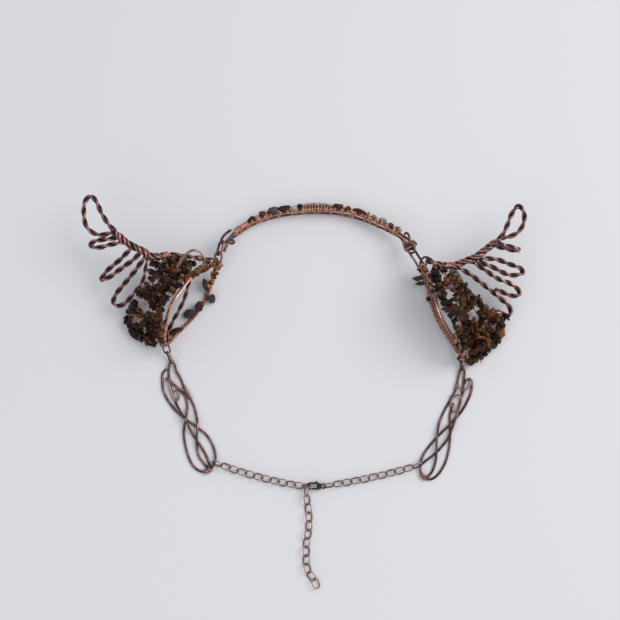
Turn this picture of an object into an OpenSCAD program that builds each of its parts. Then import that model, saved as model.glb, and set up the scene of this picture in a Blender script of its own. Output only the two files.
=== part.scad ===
// A wire-wrapped diadem of copper, lying on a flat surface, seen from above with its front band
// towards +Y. An ear piece with a wing hangs at each side, then a woven knot, and a chain with a
// clasp closes the ring at the back. Millimetres, +Z up, the surface is at Z = 0.

/* [Wire] */
// Diameter of the heavy wire of the band and the knots
wire_d = 1.4; // [1.3:0.05:1.45]
// Distance across a twisted pair of heavy wires
twist_d = 2.6; // [2.4:0.05:2.7]
// Diameter of the thin wire that carries the stones
thread_d = 0.5; // [0.4:0.05:0.55]
// Length of a whole turn of a twisted pair
twist_turn = 14.4; // [12:0.2:16]

/* [Stones] */
// Distance between two stones on one thread of a net
stone_pitch = 3.6; // [3.5:0.05:4]
// Length of a net's stones across their thread
stone_length = 7; // [5:0.1:7.2]
// Width of a net's stones
stone_width = 5; // [3.6:0.1:5.2]
// Thickness of a net's stones along their thread
stone_thick = 3; // [2:0.1:3.1]
// Diameter of the hole drilled through a stone
stone_bore = 0.9; // [0.8:0.05:1]

/* [Chain] */
// Diameter of the wire of the chain's links
chain_wire_d = 0.8; // [0.7:0.05:0.85]
// Width of a chain link
chain_link_w = 5.2; // [5:0.1:5.6]
// Angle by which the links roll to one side and the other
chain_roll = 36; // [32:1:42]
// Diameter of the wire of the links between the larger pieces
joint_wire_d = 1.3; // [1.1:0.05:1.35]

/* [Clasp] */
// Length of the clasp's hook, from its back to its nose
hook_length = 8.6; // [8.4:0.1:9]
// Width of the clasp's hook
hook_width = 4.6; // [4.5:0.1:5]
// Thickness of the clasp's hook
hook_thick = 1.7; // [1.5:0.1:1.8]
// Length of the lever, from its pin to its tip
lever_length = 4.3; // [4:0.05:4.3]

/* [Hidden] */
$fn = 24;
play = 0.15;
link_play = 0.3;
round_sides = 6;
loop_sides = 8;

// Colours of the two coppers and the stones
dark_copper = [0.36, 0.24, 0.22];
bright_copper = [0.72, 0.40, 0.28];
chain_copper = [0.45, 0.33, 0.30];
stone_brown = [0.30, 0.20, 0.12];

// Routes of the band's two wires, from the left end to the right end. The upper wire starts in
// the hook that the left links hang on and ends in the eye that the right link hangs on.
upper_route = [
    [-45.5, 99, 15], [-48, 98.2, 15], [-50.2, 96.4, 14.6], [-51.6, 93.8, 14.2],
    [-51.6, 91.6, 13.8], [-50.4, 90.4, 13.5], [-48.8, 91, 13.2], [-46.6, 93.4, 12.8],
    [-42.2, 98.8, 11.4], [-36.9, 102.8, 10.3], [-29.8, 106.4, 9.4], [-22.3, 109.2, 9],
    [-15.4, 111, 8.8], [-6.7, 112.5, 8.8], [2.3, 113.2, 8.8], [11.4, 113.4, 8.8],
    [20.3, 113, 8.8], [29.2, 111.6, 8.8], [40.3, 107.7, 9.2], [49.1, 103.4, 10],
    [57.9, 97.9, 11.5], [63.2, 94.1, 12.8], [66.8, 90.6, 13.5], [68.4, 87.8, 13.6],
    [68, 85.8, 13.5], [66.5, 84.6, 13.2], [64.6, 84.4, 12.6], [62.9, 85.8, 12.2], [62.8, 88, 12.2]
];
lower_route = [
    [-41.4, 91.8, 10.2], [-42.9, 90.5, 10.2], [-44.8, 90.7, 10.2], [-45.9, 92.2, 10.3],
    [-45.2, 94.2, 10.2], [-42, 96.6, 9.4], [-36, 101.6, 7], [-29, 106, 4.2], [-22, 109, 2],
    [-15, 111.1, 0.9], [-2.5, 112.8, 0.8], [10, 113.2, 0.8], [22.5, 112.2, 0.8],
    [35, 109, 1.4], [47.4, 103, 4.4], [55.7, 97.4, 8.6], [59.6, 93.6, 10.2],
    [62.4, 91.8, 10.8], [65, 92.4, 11], [66.4, 94.4, 11], [65.8, 96.8, 11], [63.6, 97.8, 11]
];

// Closed routes of the ear loops with the diameter at each point: the wire is bare at the head and
// the foot, and thicker where a thin wire is wound on it
left_loop_route = [
    [-55, 73.4, 8.5, 1.6], [-53.4, 76.8, 13, 1.4], [-53.1, 77.1, 16, 1.4],
    [-54.4, 76.5, 19.2, 1.6], [-58.4, 75, 22.4, 2], [-62, 72.8, 25.2, 2],
    [-67.2, 67, 29.4, 2], [-73.4, 57.6, 33.5, 2], [-78.6, 49.2, 35, 2],
    [-81.8, 41.2, 31.5, 2], [-84.6, 34, 22, 2], [-85.4, 29.8, 14.4, 1.4],
    [-84.9, 28.4, 9, 1.4], [-83.6, 29.6, 4.8, 1.6], [-80.4, 33.8, 2, 2], [-76.1, 38.7, 1.3, 2],
    [-69.5, 45.5, 1.3, 2], [-62.6, 54.8, 1.3, 2], [-59.3, 62, 1.8, 2], [-57, 68.8, 4.2, 2]
];
right_loop_route = [
    [72, 75.1, 13, 1.4], [72.2, 74.8, 16, 1.4], [72.4, 74.6, 19, 1.4], [73, 71.8, 23.4, 1.8],
    [74.4, 66.4, 28.8, 2],
    [77.2, 55, 35.5, 2], [80, 44.5, 38, 2], [84, 36, 35.5, 2], [89.5, 28.5, 28, 2],
    [94.2, 23, 18, 2], [96, 21.5, 12, 1.6], [96.5, 21.5, 8, 1.4], [95.4, 23.4, 4.4, 1.6],
    [92.6, 28, 2, 2], [89, 33.6, 1.4, 2], [83.6, 42.8, 1.3, 2], [79.8, 52, 1.3, 2],
    [77.4, 61.4, 1.6, 2], [75, 68.4, 3.8, 2], [72.8, 73.4, 8.6, 1.8]
];

// Routes of the wings' spines. Each runs from the ear loop's head and ends as the first feather.
left_spine_route = [
    [-57.4, 78.7, 20.6], [-63, 79.3, 22], [-72, 80.5, 23], [-81, 81.2, 24], [-87, 80.2, 24.3],
    [-93, 80.3, 24.5], [-97, 83, 25.2], [-103, 85.6, 26.5], [-108.5, 88.8, 28], [-113.5, 93.8, 30],
    [-118.2, 99, 30.5], [-122.5, 106, 31], [-125.8, 113, 31], [-129.5, 115.8, 31],
    [-132.8, 111.5, 30.5], [-133, 104, 29.5], [-131.6, 98, 29], [-127.5, 93.8, 28.5],
    [-122, 92.4, 28.5], [-116.4, 93.6, 28.8]
];
left_feathers = [
    [[-112.2, 87.8, 27], [-118.5, 86.6, 26], [-124.5, 85.3, 25], [-129.3, 86.6, 24.4],
     [-127.3, 89.2, 25], [-121.5, 90, 26.4], [-114.2, 90.8, 27.4]],
    [[-104.6, 84.6, 25.9], [-112, 78.3, 22], [-119.6, 72.6, 19], [-123.4, 67, 17.2],
     [-118.2, 68.6, 18.3], [-110.5, 73.6, 21], [-103.6, 78.2, 23], [-99.8, 81.7, 24.2]],
    [[-96.6, 79.4, 24], [-103, 71.4, 20.6], [-110.5, 63.6, 16], [-115.3, 58.4, 13],
     [-116.6, 53.6, 11], [-113.6, 52, 10.6], [-109, 54, 11.6], [-105.6, 57.4, 13.2],
     [-102, 61.4, 15.4], [-98.2, 66, 18], [-96.6, 71, 21], [-95.4, 76.8, 23]]
];
right_spine_route = [
    [74.4, 78.4, 20], [79.2, 76.4, 20.5], [85.6, 75, 21], [92.2, 75.3, 22], [97.8, 77.4, 23],
    [104.2, 79.8, 24], [109.4, 83.6, 25], [114.2, 87.2, 26], [119.7, 92, 28], [122.8, 98, 29],
    [125.6, 105, 30], [129.2, 109.6, 31], [132.4, 107, 31], [133, 101, 30.5], [130.4, 95, 29.5],
    [126, 92, 28.6], [122.4, 91, 28.2]
];
right_feathers = [
    [[116.8, 86.4, 24.6], [122, 85, 24], [128, 83.8, 23.6], [130.2, 83.6, 25.4],
     [128, 84.4, 27.4], [122.4, 85.8, 27.6], [117.4, 87.2, 27.8]],
    [[107.2, 79, 24], [117, 78.4, 23], [124.5, 76, 21], [131.5, 74, 19], [133, 71, 17.8],
     [127, 69.6, 18], [121, 71, 19.5], [115, 73.8, 21.4], [107.8, 76.4, 22.6]],
    [[103, 76.8, 22.4], [110, 72.4, 20.4], [118, 67.8, 17], [125.4, 65.4, 14.6],
     [131, 61.8, 12.6], [131.6, 58.6, 11.5], [126.5, 58.2, 12], [119.2, 60.8, 14.2]],
    [[94.6, 73.2, 21.9], [101.3, 69.4, 20.6], [107.3, 65.2, 18.6], [114.6, 60.2, 15.4],
     [120.4, 56, 12.4], [125.4, 52.2, 9.8], [126.8, 48.6, 8], [124.2, 46.6, 7.4],
     [120.6, 48, 8.6]]
];

// Routes of the twisted wires inside the nets
left_strut_route = [
    [-71, 78, 21], [-69.8, 74, 20], [-69.6, 69.4, 19.6], [-70.3, 63.3, 18.5], [-72.9, 54.5, 17],
    [-76.5, 47.5, 15.5], [-80.1, 41.4, 13.6], [-82.6, 36, 11.8], [-83.6, 32.2, 11.6]
];
right_strut_route = [
    [82.4, 74.2, 18.8], [82.9, 62, 18.4], [85.6, 52, 18.6], [89.4, 43, 18], [92.6, 36, 16.6],
    [94, 31.4, 14.9]
];

// Threads of the nets: route, seed of its stones, size of its stones against the largest
left_net = [
    [[[-69.8, 73.6, 23.6], [-72.7, 65.9, 28], [-76.7, 59.8, 31], [-81.2, 54, 32],
      [-85, 48.4, 30], [-87.6, 42.6, 25], [-88.4, 37, 18], [-87.2, 32, 11]], 3, 1],
    [[[-76.4, 76.2, 23], [-79, 69, 26], [-83, 62.8, 27.5], [-87.6, 57.2, 26.6],
      [-91.6, 52.2, 23], [-93.6, 47, 18], [-93.4, 41.6, 13], [-91.4, 36, 8.6], [-89.6, 33, 6]], 11, 1],
    [[[-84, 76.8, 22], [-88, 69.8, 22.6], [-93.2, 64.6, 20.6], [-98.4, 59.6, 17.4],
      [-102.6, 55, 14], [-104.4, 50.8, 10.8], [-100.8, 47.8, 10.2], [-97, 44.4, 9.2],
      [-95.8, 39.4, 7], [-95.6, 35.4, 5]], 17, 1],
    [[[-107.2, 50.8, 7.6], [-107.8, 46, 5.6], [-108.2, 41.4, 4.6], [-106, 36.8, 4.4],
      [-101.6, 33, 4.4], [-95.4, 30.4, 4.4], [-90, 28.4, 4.4]], 23, 1],
    [[[-103.6, 43.6, 6.4], [-101.4, 40, 5.4], [-99.2, 37, 4.8]], 31, 0.8],
    [[[-92, 59.4, 21.4], [-94, 55.4, 18.6], [-97.2, 51.2, 15.4]], 37, 0.8],
    [[[-91.6, 77.2, 21.4], [-93.4, 70.2, 19.2]], 43, 0.8],
    [[[-73.8, 74, 17.4], [-77.4, 66.8, 19.8], [-81.8, 59.8, 21.8], [-85.8, 53.2, 21.1],
      [-88.8, 47.4, 17.8]], 53, 0.95],
    [[[-80.4, 77, 17.4], [-83.8, 70.4, 18], [-87.8, 63.8, 17.4]], 59, 0.95]
];
right_net = [
    [[[78.6, 72.4, 25], [79.8, 62.8, 31], [81.8, 53.4, 34], [84.9, 46.2, 34.4],
      [89.4, 39.4, 31], [93.8, 33.4, 24], [96.6, 28.6, 16], [97.6, 25.6, 10.6]], 5, 1],
    [[[85, 71.2, 22.6], [88.3, 63.4, 25], [92.9, 56.2, 26.4], [96.2, 50, 25],
      [97.8, 44.4, 20.6], [98.6, 39, 15.6], [99.8, 33.8, 10.6], [101.4, 28.6, 7]], 13, 1],
    [[[91.4, 71.4, 21], [94.8, 64.6, 21], [99.8, 57.3, 20.6], [104.6, 51.2, 18.6],
      [107.6, 46.4, 15.4], [108.6, 41.3, 11.4], [107, 35.6, 8], [104.6, 30.4, 5.6],
      [102.6, 26.4, 4.6]], 19, 1],
    [[[84.2, 69.8, 26.4], [85.4, 63, 29.6], [88, 55.2, 31.4], [91, 48.2, 30.6],
      [94.4, 41.8, 26]], 47, 0.8],
    [[[98.2, 69.4, 17.4], [103.8, 60, 16], [110.4, 52.4, 13.8], [117, 47, 10],
      [121.4, 42.4, 7], [122, 37.2, 5], [119.6, 31.8, 4.4], [115.3, 27, 4.2],
      [110.3, 23, 4.2], [104.8, 19.9, 4.2], [99.4, 18, 4.2]], 29, 1],
    [[[115, 43.4, 7.6], [114.4, 38.6, 5.8], [112.4, 33.8, 4.8], [109.4, 28.6, 4.6]], 37, 1],
    [[[88.4, 72, 16], [91.4, 65, 15.8], [95.6, 58.4, 15.6]], 53, 0.9],
    [[[113.2, 32, 10.6], [109, 28.2, 10.4], [104.8, 25, 10.2], [102, 22.8, 10]], 61, 0.9]
];

// A thin wire that arches over the left spine
left_arc = [
    [-76.4, 72.4, 29.4], [-74.2, 76.4, 30.6], [-70.4, 80.2, 32.4], [-66.6, 82.3, 33],
    [-62.8, 81.4, 31.4], [-60.6, 78.4, 27.6], [-60.3, 74.6, 25.2]
];

// The stones on the band: place in X, length, height, depth, seed
band_stones = [
    [-32.9, 4.6, 5, 3.2, 2], [-26, 3.2, 5, 2.8, 4], [-19.3, 5.4, 5.4, 3.4, 6],
    [-12.1, 6.2, 5.4, 3.4, 8], [-2.7, 2.8, 4.6, 3.4, 10], [20.6, 6.2, 5, 2.8, 12],
    [27.1, 4, 4.6, 2.6, 14], [34.5, 6.6, 5.4, 3.6, 16], [40.1, 2.8, 4.4, 2.6, 18],
    [43.6, 2.8, 4.4, 2.6, 20], [48.7, 5, 4.8, 3.4, 22], [54, 3.8, 4.2, 2.6, 24],
    [58.4, 3.6, 3.8, 2.4, 26]
];
// Row of the band's stones: it lies in front of both wires
band_row = [
    [-43.4, 99.4, 14], [-38.2, 104.2, 8.4], [-32.9, 108, 5.6], [-26, 111.6, 5],
    [-19.3, 114, 4.8], [-12.1, 115.2, 4.8], [-2.7, 116.6, 4.8], [9, 117, 4.8],
    [20.6, 116, 4.8], [27.1, 114.9, 4.8], [34.5, 113, 4.8], [42, 110, 5.4],
    [48.7, 106.8, 6.4], [54, 103.8, 7.4], [59.2, 100.6, 8.6]
];

// Stones tied along the ear loops: place, heading, pitch, roll, length, width, thickness, seed
left_loop_stones = [
    [[-61.1, 66.2, 4.6], 70, 10, 30, 6, 3.6, 2.2, 41],
    [[-57.7, 57.2, 2.6], 100, 0, 15, 4.8, 4.4, 2.2, 43],
    [[-64.6, 52.8, 3.7], 50, 0, 0, 5.4, 3.2, 2, 44],
    [[-71, 49.4, 2.6], 20, 0, 20, 6.4, 4.6, 2, 45],
    [[-79.2, 38.4, 3.5], 15, 0, 30, 6.6, 3.4, 2, 46]
];
right_loop_stones = [
    [[70.3, 70.3, 5.4], 178, 0, 10, 6, 2.4, 1.6, 47], [[72, 67.2, 4.2], 172, 0, 20, 5, 2.4, 1.6, 48],
    [[76.1, 57.6, 2.5], 102, 0, 60, 4, 2.6, 1.8, 49], [[91.5, 33.9, 2.4], 120, 0, 50, 4.4, 3, 1.8, 50]
];

// Knots: the wire that turns over at the top, and the ring wire that weaves under and over it
left_knot_route = [
    [-59.2, -45.2, 0.8], [-61, -43, 0.8], [-63.8, -39, 0.8], [-65, -33.8, 1.4], [-65.2, -28, 2.4],
    [-64.8, -20.5, 2.4], [-65.5, -15, 1.4], [-67.3, -8.5, 0.8], [-70.2, -2.8, 0.8],
    [-73.6, 3.5, 0.8], [-76, 9, 0.8], [-78.6, 13.5, 1.2], [-78.5, 17, 2.1], [-81.2, 19.7, 2.9],
    [-83.3, 17.2, 2.2], [-83.2, 12, 1], [-82.4, 6, 0.8], [-80.6, -1, 0.8], [-77.6, -8, 1.6],
    [-74.4, -13.6, 3.4], [-72, -17.4, 3.9], [-69.4, -22.6, 2.2], [-66, -28.4, 0.8],
    [-62.7, -33, 0.8], [-59.6, -38.2, 0.8], [-57.8, -42.6, 0.8]
];
left_ring_route = [
    [-85, 14.2, 0.8], [-86.8, 11.6, 0.8], [-87, 7, 0.8], [-86, 0.5, 0.8], [-82.6, -6, 0.8],
    [-77.8, -11.8, 0.8], [-71.8, -16.8, 0.8], [-66, -20.8, 0.8], [-59.5, -26, 0.8],
    [-55.4, -32.5, 0.8], [-53.7, -38.5, 1.6], [-54.1, -42.8, 2.5], [-56.4, -46.6, 1.6],
    [-60.8, -48.4, 0.8], [-65.6, -46.4, 0.8], [-69.2, -41.4, 0.8], [-72, -33, 0.8],
    [-73.2, -25, 1], [-72.8, -19.8, 1.8], [-72, -16, 2.4], [-71.4, -12, 1.6], [-71.4, -7.6, 0.8],
    [-72.8, -2.6, 0.8], [-75.6, 0.9, 0.8], [-78.6, 3.8, 1.4], [-82, 6.6, 2.4], [-84.6, 8.6, 1.8]
];
right_knot_route = [
    [76, -50.4, 0.8], [78, -47.6, 0.8], [79.6, -43, 1.4], [80.3, -37.5, 2.4], [80.5, -32, 2.4],
    [81, -26.5, 2.4], [82.5, -18.8, 1.4], [85.4, -12, 0.8], [88.8, -5.8, 0.8], [91.8, -0.8, 0.8],
    [94, 6, 0.8], [95, 12.6, 2.2], [96.9, 15.6, 2.9], [99, 13.2, 2.2], [98.3, 8.4, 0.9],
    [97.6, 3, 0.8], [96.6, -2.6, 0.8], [94.6, -9, 1.4], [92.8, -15.2, 2.4], [90.4, -21.6, 2.4],
    [88.2, -27, 2.4], [85.2, -31.6, 1.4], [81.4, -35.8, 0.8], [77.8, -38.9, 0.8], [73.2, -42.4, 0.8]
];
right_ring_route = [
    [99.6, 5.6, 0.8], [100, 7.8, 0.8], [101.6, 8.2, 0.8], [102.9, 6.4, 0.8], [103, 3.4, 0.8], [102.2, -0.4, 0.8],
    [100.4, -4.6, 0.8], [97.2, -10.4, 0.8], [93.2, -15.4, 0.8], [90.6, -18, 1.4], [88.4, -20.3, 2.4],
    [84.8, -23.8, 1.4], [80.9, -27.6, 0.8], [76.4, -32.6, 0.8], [72.4, -38.4, 1.2],
    [70.5, -43.8, 2.5], [70.6, -48.4, 1.6], [73, -52, 0.8], [77.2, -52.8, 0.8], [81.6, -49.6, 0.8],
    [85.6, -43.2, 0.8], [88, -35.4, 0.8], [89, -28.4, 0.8], [89, -20.6, 0.8], [89.2, -13.6, 0.8],
    [91.2, -6.8, 0.8]
];

// Points where neighbouring links meet, and the roll of each link
left_shoulder_points = [[-50.4, 91.2, 13.3], [-51.7, 83.8, 15.2], [-53.3, 76.3, 15.7]];
right_shoulder_points = [[66.1, 85.7, 12.9], [72.7, 73.8, 17.4]];
left_drop_points = [[-85.2, 29.35, 9.6], [-83.4, 23.9, 5.8], [-81.3, 18.2, 2.2]];
right_drop_points = [[96.5, 22.2, 8.4], [96.8, 18.3, 5.2], [96.9, 14.3, 2.4]];

// The clasp lies in the line of the chain, its nose towards the left
clasp_axis = [8.7, -57, 2.65];
ring_r = 2.5;
ring_wire_d = 0.9;
ring_roll = 120;
lever_offset = -1.6;
lever_w = 1;
lever_eye_d = 1.4;
pin_d = 0.6;
pin_hole_d = 0.75;
hook_wall = 1.1;
hook_back = 1.6;
eye_r = 1.35;
ring_centre = clasp_axis - [4.75 + ring_r, 0, 0];
eye_centre = clasp_axis + [hook_back + eye_r + 0.2, 0, 0];

// Chain runs: first point, last point, sag, number of links
left_run = [[-54.8, -42.6, 2.5], ring_centre - [ring_r - 0.55, 0.1, 0], 1.6, 11];
right_run = [eye_centre + [eye_r - 0.55, 0.1, 0], [71.2, -44, 2.5], 1.2, 11];
// The extension chain: pitch of its links, and the heading of each on the surface
tail_pitch = 5.1;
tail_headings = [-89, -82, -81, -88, -93, -102, -96, -88, -92, -72, -52, -68];

function unit(v) = v / norm(v);
function clamped(list, i) = list[max(0, min(len(list) - 1, i))];
function wrapped(list, i) = list[(i + len(list)) % len(list)];
function noise(seed) = let (v = sin(seed * 78.233 + 12.9) * 4375.85) v - floor(v);
function spread(seed, low, high) = low + (high - low) * noise(seed);

// Smooth curve through four neighbouring points, between the second and the third
function bend(a, b, c, d, t) =
    (2 * b + (c - a) * t + (2 * a - 5 * b + 4 * c - d) * t * t + (3 * b - a - 3 * c + d) * t * t * t) / 2;
function open_curve(p, steps = 6) = [
    for (i = [0 : len(p) - 2]) for (j = [0 : steps - 1])
        bend(clamped(p, i - 1), p[i], p[i + 1], clamped(p, i + 2), j / steps),
    p[len(p) - 1]
];
function closed_curve(p, steps = 6) = [
    for (i = [0 : len(p) - 1]) for (j = [0 : steps - 1])
        bend(wrapped(p, i - 1), p[i], wrapped(p, i + 1), wrapped(p, i + 2), j / steps),
    p[0]
];
function distances(p) = [
    for (i = 0, s = 0; i < len(p); s = s + norm(clamped(p, i + 1) - p[i]), i = i + 1) s
];
function place(tables, d) = [for (table = tables) lookup(d, table)];
function tables(p) = let (s = distances(p))
    [for (axis = [0 : 2]) [for (i = [0 : len(p) - 1]) [s[i], p[i][axis]]]];
// Points at equal steps along a curve
function even(p, step) = let (t = tables(p), s = distances(p), whole = s[len(s) - 1],
    n = max(1, round(whole / step))) [for (k = [0 : n]) place(t, whole * k / n)];
function heading(p, i) = unit(clamped(p, i + 1) - clamped(p, i - 1));
function carried(u, t) = unit(u - t * (u * t));
// Sideways directions along a curve, carried from one point to the next without twisting
function sideways(p, up) = [
    for (i = 0, u = unit(cross(up, heading(p, 0))); i < len(p); i = i + 1,
         u = carried(u, heading(p, i))) u
];

// A section swept along a curve: a list of radii round the curve, turned by turn at each point
// and thinner towards the end where thin is less than one
module sweep(p, radii, up = [0, 0, 1], turn = 0, thin = 1) {
    n = len(radii);
    m = len(p);
    us = sideways(p, up);
    points = [
        for (i = [0 : m - 1]) let (u = us[i], v = cross(heading(p, i), u),
            k = lookup(i / (m - 1), [[0.62, 1], [0.72, thin]]))
            for (j = [0 : n - 1]) let (a = 360 * j / n + turn * i)
                p[i] + k * radii[j] * (cos(a) * u + sin(a) * v)
    ];
    walls = [
        for (i = [0 : m - 2]) for (j = [0 : n - 1])
            let (a = i * n + j, b = i * n + (j + 1) % n)
                each [[a, a + n, b + n], [a, b + n, b]]
    ];
    ends = [[for (j = [0 : n - 1]) j], [for (j = [n - 1 : -1 : 0]) (m - 1) * n + j]];
    polyhedron(points, concat(walls, ends), convexity = 10);
}

// A closed section swept round a closed curve, whose sideways directions follow its plane
module closed_sweep(route, sides, normal) {
    curve = closed_curve(route, 2);
    n = sides;
    m = len(curve) - 1;
    p = [for (c = curve) [c[0], c[1], c[2]]];
    points = [
        for (i = [0 : m - 1]) let (t = unit(wrapped_point(p, i + 1) - wrapped_point(p, i - 1)),
            u = unit(cross(normal, t)), v = cross(t, u), d = curve[i][3])
            for (j = [0 : n - 1]) let (a = 360 * j / n) p[i] + d / 2 * (cos(a) * u + sin(a) * v)
    ];
    walls = [
        for (i = [0 : m - 1]) for (j = [0 : n - 1])
            let (a = i * n + j, b = i * n + (j + 1) % n, c = (i + 1) % m * n + j,
                 e = (i + 1) % m * n + (j + 1) % n)
                each [[a, c, e], [a, e, b]]
    ];
    polyhedron(points, walls, convexity = 10);
}
function wrapped_point(p, i) = let (m = len(p) - 1) p[(i + m) % m];

module wire(route, d, steps = 2, up = [0, 0, 1])
    sweep(open_curve(route, steps), [for (j = [1 : round_sides]) d / 2], up);
module thread(p) sweep(p, [for (j = [1 : 5]) thread_d / 2]);

// Two heavy wires twisted together: a section of two lobes that turns as it goes
module twisted(route, d = twist_d, up = [0, 0, 1], thin = 1)
    sweep(even(open_curve(route), twist_turn / 8),
          [for (r = [1, 0.72, 0.36, 0.72, 1, 0.72, 0.36, 0.72]) r * d / 2], up, 45, thin);

module aim(from, to, roll = 0) {
    way = to - from;
    translate((from + to) / 2)
        rotate([0, -atan2(way[2], norm([way[0], way[1]])), atan2(way[1], way[0])])
            rotate([roll, 0, 0]) children();
}

// An oval link that reaches round the points where it meets its neighbours
module link(from, to, roll, w, d) {
    half = norm(to - from) / 2 + d / 2 + link_play / 2;
    r = (w - d) / 2;
    aim(from, to, roll) {
        for (side = [-1, 1]) {
            translate([side * (half - r), 0, 0]) rotate([0, 0, -90 * side])
                rotate_extrude(angle = 180) translate([r, 0]) circle(d = d);
            translate([0, side * r, 0]) rotate([0, 90, 0])
                cylinder(d = d - 0.05, h = 2 * (half - r) + 0.3, center = true);
        }
    }
}

function run_points(run) = [for (i = [0 : run[3]]) let (t = i / run[3])
    run[0] + (run[1] - run[0]) * t - [0, run[2] * 4 * t * (1 - t), 0]];

// A chain: its links roll to one side and the other, and its end links stand steeper
module chain(points, first_roll, last_roll, start_side = 1, $fn = 16)
    for (i = [0 : len(points) - 2]) {
        side = i % 2 == 0 ? start_side : -start_side;
        roll = i == 0 ? first_roll : i == len(points) - 2 ? last_roll
             : side * (chain_roll + spread(i, -3, 3));
        link(points[i], points[i + 1], roll, chain_link_w, chain_wire_d);
    }

// Outlines of a chip of stone, from the top and from the side
function chip_top(l, w, seed) = [
    for (i = [0 : 5]) let (a = 60 * i + spread(seed + i * 7.1, -16, 16))
        [l / 2 * cos(a) * spread(seed + i * 3.7, 0.84, 1), w / 2 * sin(a) * spread(seed + i * 5.3, 0.85, 1.1)]
];
function chip_side(l, t, seed) = [
    [-l, t * spread(seed + 51, -0.3, 0)], [-l * 0.2, -t / 2], [l * 0.25, -t / 2],
    [l, t * spread(seed + 52, -0.25, 0.1)], [l, t * spread(seed + 53, 0.12, 0.3)],
    [l * 0.3, t / 2], [-l * 0.25, t / 2], [-l, t * spread(seed + 54, 0.05, 0.3)]
];

// A tumbled chip: long in X, flat in Z, drilled through its thickness or its length
module chip(l, w, t, seed, along = false) {
    difference() {
        intersection() {
            linear_extrude(height = t, center = true) polygon(chip_top(l, w, seed));
            rotate([90, 0, 0]) linear_extrude(height = 2 * w, center = true)
                polygon(chip_side(l * 0.56, t, seed));
        }
        rotate([0, along ? 90 : 0, 0]) cylinder(d = stone_bore, h = 2 * l, center = true, $fn = 24);
    }
}

// A thread of a net as straight pieces, each long enough for two stones
function net_thread(row) = let (curve = open_curve(row[0]), s = distances(curve))
    even(curve, s[len(s) - 1] / max(1, floor(s[len(s) - 1] / (2 * stone_pitch))));

// The stones of one thread, two on each of its straight pieces
module strung(row) {
    p = net_thread(row);
    for (i = [0 : len(p) - 2]) for (half = [0.25, 0.75]) {
        seed = row[1] + (2 * i + 4 * half) * 1.37;
        middle = p[i] + (p[i + 1] - p[i]) * half;
        way = unit(p[i + 1] - p[i]);
        aim(middle - way, middle + way, spread(seed + 61, -40, 40)) rotate([0, 90, 0])
            chip(row[2] * stone_length * spread(seed + 62, 0.78, 1.04),
                 row[2] * stone_width * spread(seed + 63, 0.78, 1.04),
                 stone_thick * spread(seed + 64, 0.8, 1), seed);
    }
}

module threads(net) for (row = net) thread(net_thread(row));

module tied(stones) for (s = stones)
    translate(s[0]) rotate([s[3], s[2], s[1]]) chip(s[4], s[5], s[6], s[7]);

band_line = even(open_curve(band_row), 4);
module band_upper_wire() color(dark_copper) wire(upper_route, wire_d);
module band_lower_wire() color(dark_copper) wire(lower_route, wire_d);
module band_thread() color(bright_copper) thread(band_line);

module band_chips() {
    t = tables(band_line);
    s = distances(band_line);
    along = [for (i = [0 : len(band_line) - 1]) [band_line[i][0], s[i]]];
    color(stone_brown) for (b = band_stones) {
        d = lookup(b[0], along);
        aim(place(t, d - 1.5), place(t, d + 1.5), 90) chip(b[1], b[2], b[3], b[4], true);
    }
}

module left_shoulder_links() color(dark_copper) {
    link(left_shoulder_points[0], left_shoulder_points[1], 62, 5.8, joint_wire_d);
    link(left_shoulder_points[1], left_shoulder_points[2], -6, 5.8, joint_wire_d);
}
module right_shoulder_link() color(dark_copper)
    link(right_shoulder_points[0], right_shoulder_points[1], -38, 7, joint_wire_d);

module left_ear_loop() color(bright_copper)
    closed_sweep(left_loop_route, loop_sides, unit([0.93, -0.15, 0.33]));
module right_ear_loop() color(bright_copper)
    closed_sweep(right_loop_route, loop_sides, unit([0.9, 0.42, 0.05]));

module left_spine() color(dark_copper) twisted(left_spine_route);
module right_spine() color(dark_copper) twisted(right_spine_route);
module left_feather_2() color(dark_copper) twisted(left_feathers[0]);
module left_feather_3() color(dark_copper) twisted(left_feathers[1]);
module left_feather_4() color(dark_copper) twisted(left_feathers[2], thin = 0.6);
module right_feather_2() color(dark_copper) twisted(right_feathers[0], up = [0, 1, 0]);
module right_feather_3() color(dark_copper) twisted(right_feathers[1]);
module right_feather_4() color(dark_copper) twisted(right_feathers[2]);
module right_feather_5() color(dark_copper) twisted(right_feathers[3]);
module left_strut() color(dark_copper) twisted(left_strut_route, 2);
module right_strut() color(dark_copper) twisted(right_strut_route, 2);

module left_net_wires() color(bright_copper) {
    threads(left_net);
    thread(open_curve(left_arc, 3));
}
module right_net_wires() color(bright_copper) threads(right_net);
module left_net_chips() color(stone_brown) for (row = left_net) strung(row);
module right_net_chips() color(stone_brown) for (row = right_net) strung(row);
module left_loop_chips() color(stone_brown) tied(left_loop_stones);
module right_loop_chips() color(stone_brown) tied(right_loop_stones);

module left_drop_links() color(dark_copper) {
    link(left_drop_points[0], left_drop_points[1], 12, 5, 1.1);
    link(left_drop_points[1], left_drop_points[2], 68, 5, 1.1);
}
module right_drop_links() color(dark_copper) {
    link(right_drop_points[0], right_drop_points[1], 8, 5, 1.1);
    link(right_drop_points[1], right_drop_points[2], 68, 5, 1.1);
}

module left_knot_wire() color(dark_copper) wire(left_knot_route, wire_d);
module left_knot_ring() color(dark_copper) wire(left_ring_route, wire_d);
module right_knot_wire() color(dark_copper) wire(right_knot_route, wire_d);
module right_knot_ring() color(dark_copper) wire(right_ring_route, wire_d);

module left_chain() color(chain_copper) chain(run_points(left_run), 62, 36);
module right_chain() color(chain_copper) chain(run_points(right_run), 62, 62);

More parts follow.
